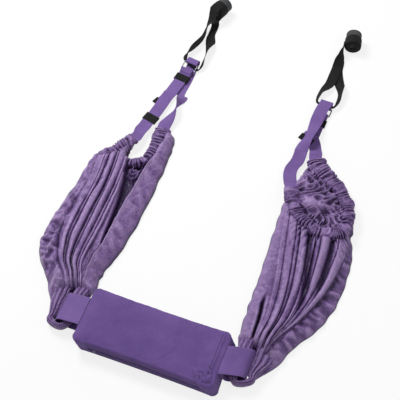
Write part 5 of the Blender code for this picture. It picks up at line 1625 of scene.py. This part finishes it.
# Black loops, from the crossbar: (x, y, height, azimuth, roll, share of the width)
ANCHOR_OUT = {
    "left": [
        (0.0010, 0.2300, 0.0012, 160, 0, 1.0),
        (-0.0020, 0.2170, 0.0012, 160, 0, 1.0),
        (0.0040, 0.2000, 0.0012, 170, 0, 0.90),
        (0.0090, 0.1780, 0.0024, 175, 6, 0.75),
        (0.0110, 0.1500, 0.0046, 180, 14, 0.70),
        (0.0170, 0.1220, 0.0042, 180, 8, 1.0),
        (0.0230, 0.0940, 0.0085, 180, -35, 0.90),
        (0.0255, 0.0600, 0.0140, 180, -75, 0.80),
        (0.0270, 0.0320, 0.0130, 175, -70, 0.65),
        (0.0290, 0.0080, 0.0095, 150, -40, 0.45),
        (0.0240, -0.0100, 0.0069, 90, -10, 0.31),
    ],
    "right": [
        (-0.0147, 0.2486, 0.0200, 190, 90, 1.0),
        (-0.0119, 0.2328, 0.0200, 190, 90, 1.0),
        (-0.0118, 0.2120, 0.0165, 186, 65, 0.95),
        (-0.0080, 0.1880, 0.0080, 183, 25, 0.95),
        (-0.0065, 0.1600, 0.0016, 180, 0, 1.0),
        (0.0020, 0.1350, 0.0014, 180, 0, 1.0),
        (0.0140, 0.1040, 0.0040, 180, -10, 1.0),
        (0.0250, 0.0760, 0.0100, 180, -50, 0.90),
        (0.0300, 0.0500, 0.0115, 175, -60, 0.70),
        (0.0310, 0.0240, 0.0125, 150, -30, 0.45),
        (0.0255, 0.0020, 0.0129, 100, 0, 0.31),
    ],
}
ANCHOR_BACK = {
    "left": [
        (-0.0310, 0.0210, 0.0085, 25, 20, 0.40),
        (-0.0320, 0.0400, 0.0130, 5, 65, 0.70),
        (-0.0240, 0.0640, 0.0160, 0, 88, 0.94),
        (-0.0090, 0.1090, 0.0160, 0, 90, 0.94),
        (-0.0080, 0.1460, 0.0165, 0, 88, 0.92),
        (-0.0090, 0.1700, 0.0180, -10, 55, 0.85),
        (-0.0050, 0.1880, 0.0250, -15, 15, 0.85),
        (-0.0045, 0.2010, 0.0380, -20, 0, 0.95),
        (-0.0035, 0.2120, 0.0500, -20, 0, 1.0),
        (0.0000, 0.2220, 0.0532, -20, 0, 1.0),
        (0.0030, 0.2300, 0.0534, -20, 0, 1.0),
    ],
    "right": [
        (-0.0300, 0.0120, 0.0125, 60, 20, 0.40),
        (-0.0290, 0.0400, 0.0100, 15, 45, 0.70),
        (-0.0200, 0.0660, 0.0085, -5, 20, 0.90),
        (-0.0120, 0.0930, 0.0065, -5, 5, 0.95),
        (-0.0100, 0.1350, 0.0045, 0, 0, 1.0),
        (-0.0095, 0.1600, 0.0052, 0, 0, 1.0),
        (-0.0105, 0.1880, 0.0135, 2, -25, 0.95),
        (-0.0085, 0.2120, 0.0185, 6, -65, 0.95),
        (-0.0107, 0.2326, 0.0200, 10, -90, 1.0),
        (-0.0137, 0.2484, 0.0200, 10, -90, 1.0),
    ],
}
CROSSBAR_AZIMUTH = {"left": 153.4, "right": 177}
# The webbing bunched in the bight: (along the crossbar, share of its radius)
BUNDLE = [(-0.025, 0.30), (-0.019, 0.75), (-0.012, 1.0), (0.012, 1.0), (0.019, 0.75), (0.025, 0.30)]


def anchor_path(side):
    head = HEADS[side.name]
    turn = math.radians(CROSSBAR_AZIMUTH[side.name])
    level = (head.crossbar, math.degrees(turn) - 90, 0, CROSSBAR_WIDTH / ANCHOR_WIDTH)
    bar = [
        (math.cos(turn) * q, math.sin(turn) * q, *level)
        for q in (-0.018, -0.009, 0.0, 0.009, 0.018, 0.025)
    ]
    rows = np.array([*ANCHOR_OUT[side.name], *bar, *ANCHOR_BACK[side.name]], float)
    rows[:, 5] *= ANCHOR_WIDTH
    return posed(catmull(rows, 9), side.cross)


def bundle_mesh(side):
    """The webbing bunched round in the strap's bight: a tapered bar with folds along it."""
    turn = math.radians(CROSSBAR_AZIMUTH[side.name])
    way = np.array((math.cos(turn), math.sin(turn), 0.0))
    level = np.array((-way[1], way[0], 0.0))
    rows = catmull(BUNDLE, 6)
    a = circle(40)
    radius = rows[:, 1:2] * CROSSBAR_WIDTH / 2 - 0.0006 * wave(a * 5 + rows[:, :1] * 90) ** 2
    ring = level * np.cos(a)[:, None] + np.array((0, 0, 1.0)) * np.sin(a)[:, None]
    points = side.cross + way * rows[:, :1][:, None] + ring[None] * radius[..., None]
    return grid_mesh("bundle", points, (False, True), wall_uv(points, False, True), (True, True))


def lathed(name, profile, place, way, count=64, closed=False):
    """A turned piece: a profile of (along, radius) carried round an axis."""
    profile = np.array(profile, float)
    way = unit(np.array(way, float))
    level = unit(np.cross((0.0, 0.0, 1.0), way))
    rise = np.cross(way, level)
    a = circle(count)
    ring = level * np.cos(a)[:, None] + rise * np.sin(a)[:, None]
    points = place + way * profile[:, None, :1] + ring[None] * profile[:, None, 1:2]
    uv = wall_uv(points, closed, True)
    return grid_mesh(name, points, (closed, True), uv, (not closed, not closed))


def rounded(start, radius, soft):
    """Profile of a turned piece's round edge, from its end face out to its side."""
    return [
        (start + soft - soft * math.cos(a), radius - soft + soft * math.sin(a))
        for a in np.linspace(0, math.pi / 2, 7)
    ]


def foam_mesh(side):
    bore = CORE_RADIUS + CLEARANCE
    half = BARREL_LENGTH / 2
    near = rounded(-half, BARREL_RADIUS, BARREL_EDGE)
    body = near + [(-q, r) for q, r in reversed(near)]
    waist = [(q, r - 0.0004 * math.cos(q * 90) * (r > 0.023)) for q, r in body]
    profile = [(-half, bore), (-half, 0.012), *waist, (half, 0.012), (half, bore)]
    return lathed("foam", profile, side.axle, side.spin, 72, True)


def core_mesh(side):
    """The plug in the foam: a tube end with a raised rim round a shallow dish."""
    half = BARREL_LENGTH / 2 - 0.001
    r = CORE_RADIUS
    near = [(0.0012, 0.0012), (0.0012, r - 0.0024), (0, r - 0.0016), (0, r - 0.0006), (0.0006, r)]
    near = [(-half + q, radius) for q, radius in near]
    far = [(-q, radius) for q, radius in reversed(near)]
    return lathed("core", [*near, *far], side.axle, side.spin, 40)


def sleeve_mesh(side):
    """The sewn webbing sleeve round the stopper's near end, closed behind it."""
    inner = BARREL_RADIUS + 0.0005
    near = -BARREL_LENGTH / 2 - 0.0005 - WEBBING
    rim = near + ANCHOR_WIDTH
    outer = inner + WEBBING
    profile = [(near, CORE_RADIUS), (near, 0.014), *rounded(near, outer, BARREL_EDGE)]
    profile += [(near + 0.012, outer + 0.0002), (rim - 0.001, outer)]
    profile += [(rim, outer - 0.0006), (rim, inner + 0.0006), (rim - 0.001, inner)]
    profile += rounded(near + WEBBING, inner, BARREL_EDGE - WEBBING)[::-1]
    profile += [(near + WEBBING, 0.014), (near + WEBBING, CORE_RADIUS)]
    return lathed("sleeve", profile, side.axle, side.spin, 72, True)


def ring_mesh(side):
    """The wire ring: a circle carried round a rectangle with round corners."""
    head = HEADS[side.name]
    ahead, height = head.bottom_bar()
    down = unit(np.array((0, 0, height - head.bar)) + head.ahead * ahead)
    half = WEBBING_WIDTH / 2 + 0.0012 + RING_WIRE / 2
    corner = RING_WIRE * 1.1
    path = []
    for sx, low, start in ((1, 0, 0), (-1, 0, 90), (-1, 1, 180), (1, 1, 270)):
        turn = np.radians(start + np.linspace(0, 90, 9))
        y = -(RING_HEIGHT - corner) if low else -corner
        x = sx * (half - corner) + corner * np.cos(turn)
        path.append(np.stack([x, y + corner * np.sin(turn)], 1))
        if start in (0, 180):
            stop = -sx * (half - corner)
            level = path[-1][-1, 1]
            x = np.linspace(path[-1][-1, 0], stop, 10)[1:-1]
            path.append(np.stack([x, 0 * x + level], 1))
    flat = np.concatenate(path)
    centre = side.ring + flat[:, :1] * head.across - flat[:, 1:] * down
    along = tangents(centre, True)
    normal = unit(np.cross(head.across, down))
    out = np.cross(along, normal)
    a = circle(20)
    points = centre[:, None] + RING_WIRE / 2 * (
        out[:, None] * np.cos(a)[None, :, None] + normal * np.sin(a)[None, :, None]
    )
    return grid_mesh("ring", points, (True, True))


# Sizes and colours


class SwingSizes(bpy.types.PropertyGroup):
    floor_width: bpy.props.FloatProperty(
        name="Floor",
        description="Width of the floor the swing lies on",
        default=14.0,
        unit="LENGTH",
    )
    stitch: bpy.props.FloatProperty(
        name="Stitch",
        description="Length of one stitch",
        default=0.0026,
        unit="LENGTH",
    )
    camera_distance: bpy.props.FloatProperty(
        name="Camera distance",
        description="From the camera to its target",
        default=2.6,
        unit="LENGTH",
    )


class SwingLook(bpy.types.PropertyGroup):
    webbing: bpy.props.FloatVectorProperty(
        name="Webbing",
        description="Purple webbing",
        default=colour("7b5da0"),
        size=4,
        subtype="COLOR",
    )
    taffeta: bpy.props.FloatVectorProperty(
        name="Sling cloth",
        description="Gathered nylon",
        default=colour("654980"),
        size=4,
        subtype="COLOR",
    )
    cover: bpy.props.FloatVectorProperty(
        name="Cover",
        description="Cushion cover",
        default=colour("6a4f8e"),
        size=4,
        subtype="COLOR",
    )
    black: bpy.props.FloatVectorProperty(
        name="Black webbing",
        description="Door loops",
        default=colour("0f0f10"),
        size=4,
        subtype="COLOR",
    )
    stopper: bpy.props.FloatVectorProperty(
        name="Stopper foam",
        description="Foam barrels",
        default=colour("47484b"),
        size=4,
        subtype="COLOR",
    )


# Operators

CAMERA_AZIMUTH = 20.63
CAMERA_ELEVATION = 57.18
CAMERA_TARGET = (-0.0414, 0.4569, 0.0)
CAMERA_LENS = 82.48
# Lamps: (name, place, size, power)
LAMPS = (("key", (-1.7, 1.5, 2.3), 1.0, 78.0), ("fill", (1.9, 0.6, 2.2), 2.2, 16.0))
LAMP_TARGET = (0.0, 0.45, 0.0)
SKY_STRENGTH = 0.40
FLOOR_SHADE = (0.86, 0.86, 0.86, 1)
FLOOR_GLOW = 0.80


def aimed(name, data, place, target):
    """Puts a lamp or a camera in the scene, turned to look at its target."""
    made = bpy.data.objects.new(name, data)
    made.location = place
    made.rotation_mode = "QUATERNION"
    made.rotation_quaternion = (Vector(target) - Vector(place)).to_track_quat("-Z", "Y")
    bpy.context.scene.collection.objects.link(made)
    return made


def dress(side, word, mesh, paint, body, slot, *solids):
    """Adds a piece of one side, in the place of that side's solids."""
    name = f"{side.name}_{word}"
    replaces = [f"{side.name}_{solid}" for solid in solids]
    return add_piece(name, mesh, PAINTS[paint], body and side.body(body), replaces)


class SWING_OT_stage(bpy.types.Operator):
    """Pale floor, soft lamps and the camera"""

    bl_idname = "swing.stage"
    bl_label = "Stage"

    def execute(self, context):
        scene = context.scene
        sizes = scene.swing_sizes
        scene.view_settings.view_transform = "Standard"
        half = sizes.floor_width / 2
        corners = [(-half, -half, 0), (half, -half, 0), (half, half, 0), (-half, half, 0)]
        mesh = bpy.data.meshes.new("floor")
        mesh.from_pydata(corners, [], [(0, 1, 2, 3)])
        floor = bpy.data.objects.new("floor", mesh)
        scene.collection.objects.link(floor)
        paint = Paint("studio floor", Roughness=0.9)
        paint.shader.inputs["Base Color"].default_value = FLOOR_SHADE
        seen = paint.node("ShaderNodeLightPath", out="Is Camera Ray")
        for ray in ("Is Glossy Ray", "Is Transmission Ray"):
            seen = seen.most(paint.node("ShaderNodeLightPath", out=ray))
        glow = paint.node("ShaderNodeEmission", {}, {"Color": (1, 1, 1, 1), "Strength": 1.0})
        share = paint.tree.nodes.new("ShaderNodeMixShader")
        paint.tree.links.new((seen * FLOOR_GLOW).socket, share.inputs[0])
        paint.tree.links.new(paint.shader.outputs[0], share.inputs[1])
        paint.tree.links.new(glow.socket, share.inputs[2])
        paint.tree.links.new(share.outputs[0], paint.tree.nodes["Material Output"].inputs[0])
        mesh.materials.append(paint.material)

        world = bpy.data.worlds.new("studio")
        world.use_nodes = True
        background = world.node_tree.nodes["Background"]
        background.inputs[0].default_value = (1, 1, 1, 1)
        background.inputs[1].default_value = SKY_STRENGTH
        scene.world = world
        for name, place, size, power in LAMPS:
            light = bpy.data.lights.new(name, "AREA")
            light.shape = "SQUARE"
            light.size = size
            light.energy = power
            aimed(name, light, place, LAMP_TARGET)

        azimuth, elevation = math.radians(CAMERA_AZIMUTH), math.radians(CAMERA_ELEVATION)
        level = math.cos(elevation)
        back = Vector(
            (math.sin(azimuth) * level, -math.cos(azimuth) * level, math.sin(elevation))
        )
        camera = bpy.data.cameras.new("camera")
        camera.sensor_width = 36.0
        camera.lens = CAMERA_LENS
        camera.clip_end = 50.0
        place = Vector(CAMERA_TARGET) + back * sizes.camera_distance
        view = aimed("camera", camera, place, CAMERA_TARGET)
        scene.camera = view
        return {"FINISHED"}


class SWING_OT_finishes(bpy.types.Operator):
    """Makes the cloth, webbing, foam and metal materials, and dresses hidden solids"""

    bl_idname = "swing.finishes"
    bl_label = "Finishes"

    def execute(self, context):
        make_paints(context.scene.swing_look)
        bare = {"foam_core": "cushion foam", "zip_slider": "zip metal", "zip_pull": "zip metal"}
        for node, name in bare.items():
            solid = frame["nodes"][node]
            solid.data.materials.clear()
            solid.data.materials.append(PAINTS[name])
        return {"FINISHED"}


class SWING_OT_cushion(bpy.types.Operator):
    """Foam cushion's zipped cover with its zip"""

    bl_idname = "swing.cushion"
    bl_label = "Cushion"

    def execute(self, context):
        cover = add_piece(
            "cushion_cover_cloth",
            cover_mesh(),
            PAINTS["cover"],
            "cushion",
            ["cushion_cover"],
        )
        add_piece("zip_tape", tape_mesh(), PAINTS["tape"], "cushion", ["zip_chain"])
        add_piece("zip_teeth", zip_mesh(), PAINTS["teeth"], "cushion", smooth=False)
        return {"FINISHED"}


class SWING_OT_bands(bpy.types.Operator):
    """Wide webbing bands at the cushion's ends, with their stitching"""

    bl_idname = "swing.bands"
    bl_label = "Bands"

    def execute(self, context):
        stitch = context.scene.swing_sizes.stitch
        for side in SIDES:
            band = band_path(side)
            centre, across = band[:2]
            webbing = "end", "purple_webbing"
            dress(side, "band_webbing", webbing_mesh("band", *band), "webbing", *webbing, "band")
            seams = [rows[[5, 9]] for rows in (centre, across, tangents(centre, True))]
            rows = sewn(*seams, WEBBING / 2, 0.92 * BAND_WIDTH, stitch, 0.0009)
            dress(side, "band_stitching", rows, "thread", *webbing)
        return {"FINISHED"}


class SWING_OT_slings(bpy.types.Operator):
    """Gathered slings, their turns through the bands and their ruched hems"""

    bl_idname = "swing.slings"
    bl_label = "Slings"

    def execute(self, context):
        for side in SIDES:
            cloth = "taffeta", None, "sling_cloth"
            turn = dress(side, "sling_turn", bight_mesh(side), *cloth, "sling_bight")
            body = dress(side, "sling_folds", cloth_mesh(side), *cloth, "sling_cloth")
            for piece in (turn, body):
                side.body("end")
                side.body("sling")
                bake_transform(piece)
            hem = hem_mesh(side)
            dress(side, "ruched_hem", hem, "taffeta", "sling", "sling_cloth", "hem_tunnel")
            strap = webbing_mesh("hem strap", *hem_webbing(side))
            dress(side, "hem_strap", strap, "webbing", "sling", "purple_webbing", "hem_webbing")
        return {"FINISHED"}


class SWING_OT_straps(bpy.types.Operator):
    """Purple straps with their rings, keepers, black tail ends and bare label patch"""

    bl_idname = "swing.straps"
    bl_label = "Straps"

    def execute(self, context):
        for side in SIDES:
            head = HEADS[side.name]
            tail_rows, bight_rows, leg_height, tail_height = strap_rows(side)
            for word, rows in (("tail_leg", tail_rows), ("bight_leg", bight_rows)):
                leg = webbing_mesh(word, *posed(catmull(rows, 10), side.fold))
                webbing = "webbing", "strap", "purple_webbing"
                dress(side, f"{word}_webbing", leg, *webbing, f"strap_{word}")
            dress(side, "wire_ring", ring_mesh(side), "steel", "ring_body", "ring_metal", "ring")

            origin = side.fold * (1, 1, 0)
            spot = origin + head.spot(0, KEEPER_PLACE, (leg_height + tail_height) / 2)
            half = (STRAP_LAYER + WEBBING) / 2 + CLEARANCE + KEEPER_CLOTH / 2
            sizes = half, KEEPER_LENGTH, KEEPER_CLOTH
            keeper = slot_mesh("keeper", spot, head.across, head.ahead, *sizes)
            dress(side, "keeper_loop", keeper, "black", "keeper_body", "black_webbing", "keeper")

            last = tail_rows[-1]
            turn = math.radians(last[3])
            across = np.array((math.cos(turn), math.sin(turn), 0.0))
            along = np.array((-math.sin(turn), math.cos(turn), 0.0))
            spot = origin + last[:3] + along * 0.007
            sizes = (STRAP_LAYER + BINDING_CLOTH + CLEARANCE) / 2, BINDING_LENGTH, BINDING_CLOTH
            cap = slot_mesh("tail end", spot, across, along, *sizes)
            dress(side, "tail_binding", cap, "black", "strap", "black_webbing", "tail_end")
        first, last = (np.array(OUTER["left"][k][:3]) for k in (1, 2))
        along = unit(last - first)
        across = unit(np.array((along[1], -along[0], 0.0)))
        spot = LEFT.fold * (1, 1, 0) + (first + last) / 2
        half = (STRAP_LAYER + PATCH_CLOTH + CLEARANCE) / 2
        patch = slot_mesh("patch", spot, across, along, half, PATCH_LENGTH, PATCH_CLOTH)
        dress(LEFT, "bare_patch", patch, "black", "strap", "black_webbing", "label_patch")
        spots = (spot - along * PATCH_SEAM, spot + along * PATCH_SEAM)
        top = half + PATCH_CLOTH / 2
        stitch = 0.0018, 0.0007, 0.0002
        rows = sewn(spots, [across] * 2, [along] * 2, top, 0.94 * WEBBING_WIDTH, *stitch)
        dress(LEFT, "patch_stitching", rows, "dark thread", "strap", "black_webbing")
        return {"FINISHED"}


class SWING_OT_stoppers(bpy.types.Operator):
    """Black loops with their sleeves and the foam door stoppers"""

    bl_idname = "swing.stoppers"
    bl_label = "Door stoppers"

    def execute(self, context):
        for side in SIDES:
            webbing = webbing_mesh("loop", *anchor_path(side))
            loop = joined("loop", [webbing, bundle_mesh(side), sleeve_mesh(side)])
            foam, core = foam_mesh(side), core_mesh(side)
            dress(side, "door_loop", loop, "black", "anchor", "black_webbing", "anchor_webbing")
            dress(side, "stopper_foam", foam, "stopper", "barrel", "barrel_foam", "barrel_foam")
            dress(side, "stopper_core", core, "core", "barrel", "barrel_core", "barrel_core")
        return {"FINISHED"}


class SWING_PT_panel(bpy.types.Panel):
    """Lists the sizes, the colours and the steps that build the swing"""

    bl_idname = "SWING_PT_panel"
    bl_label = "Stretching swing"
    bl_space_type = "VIEW_3D"
    bl_region_type = "UI"
    bl_category = "Swing"

    def draw(self, context):
        for group in (context.scene.swing_sizes, context.scene.swing_look):
            for key in group.__annotations__:
                self.layout.prop(group, key)
        for step in STEPS:
            self.layout.operator(step.bl_idname)


STEPS = (
    SWING_OT_stage,
    SWING_OT_finishes,
    SWING_OT_cushion,
    SWING_OT_bands,
    SWING_OT_slings,
    SWING_OT_straps,
    SWING_OT_stoppers,
)
CLASSES = (SwingSizes, SwingLook, *STEPS, SWING_PT_panel)


def register():
    for found in CLASSES:
        bpy.utils.register_class(found)
    bpy.types.Scene.swing_sizes = bpy.props.PointerProperty(type=SwingSizes)
    bpy.types.Scene.swing_look = bpy.props.PointerProperty(type=SwingLook)


def unregister():
    del bpy.types.Scene.swing_look
    del bpy.types.Scene.swing_sizes
    for found in reversed(CLASSES):
        bpy.utils.unregister_class(found)


def main():
    register()
    bpy.ops.swing.stage()
    bpy.ops.swing.finishes()
    bpy.ops.swing.cushion()
    bpy.ops.swing.bands()
    bpy.ops.swing.slings()
    bpy.ops.swing.straps()
    bpy.ops.swing.stoppers()


if __name__ == "__main__":
    main()
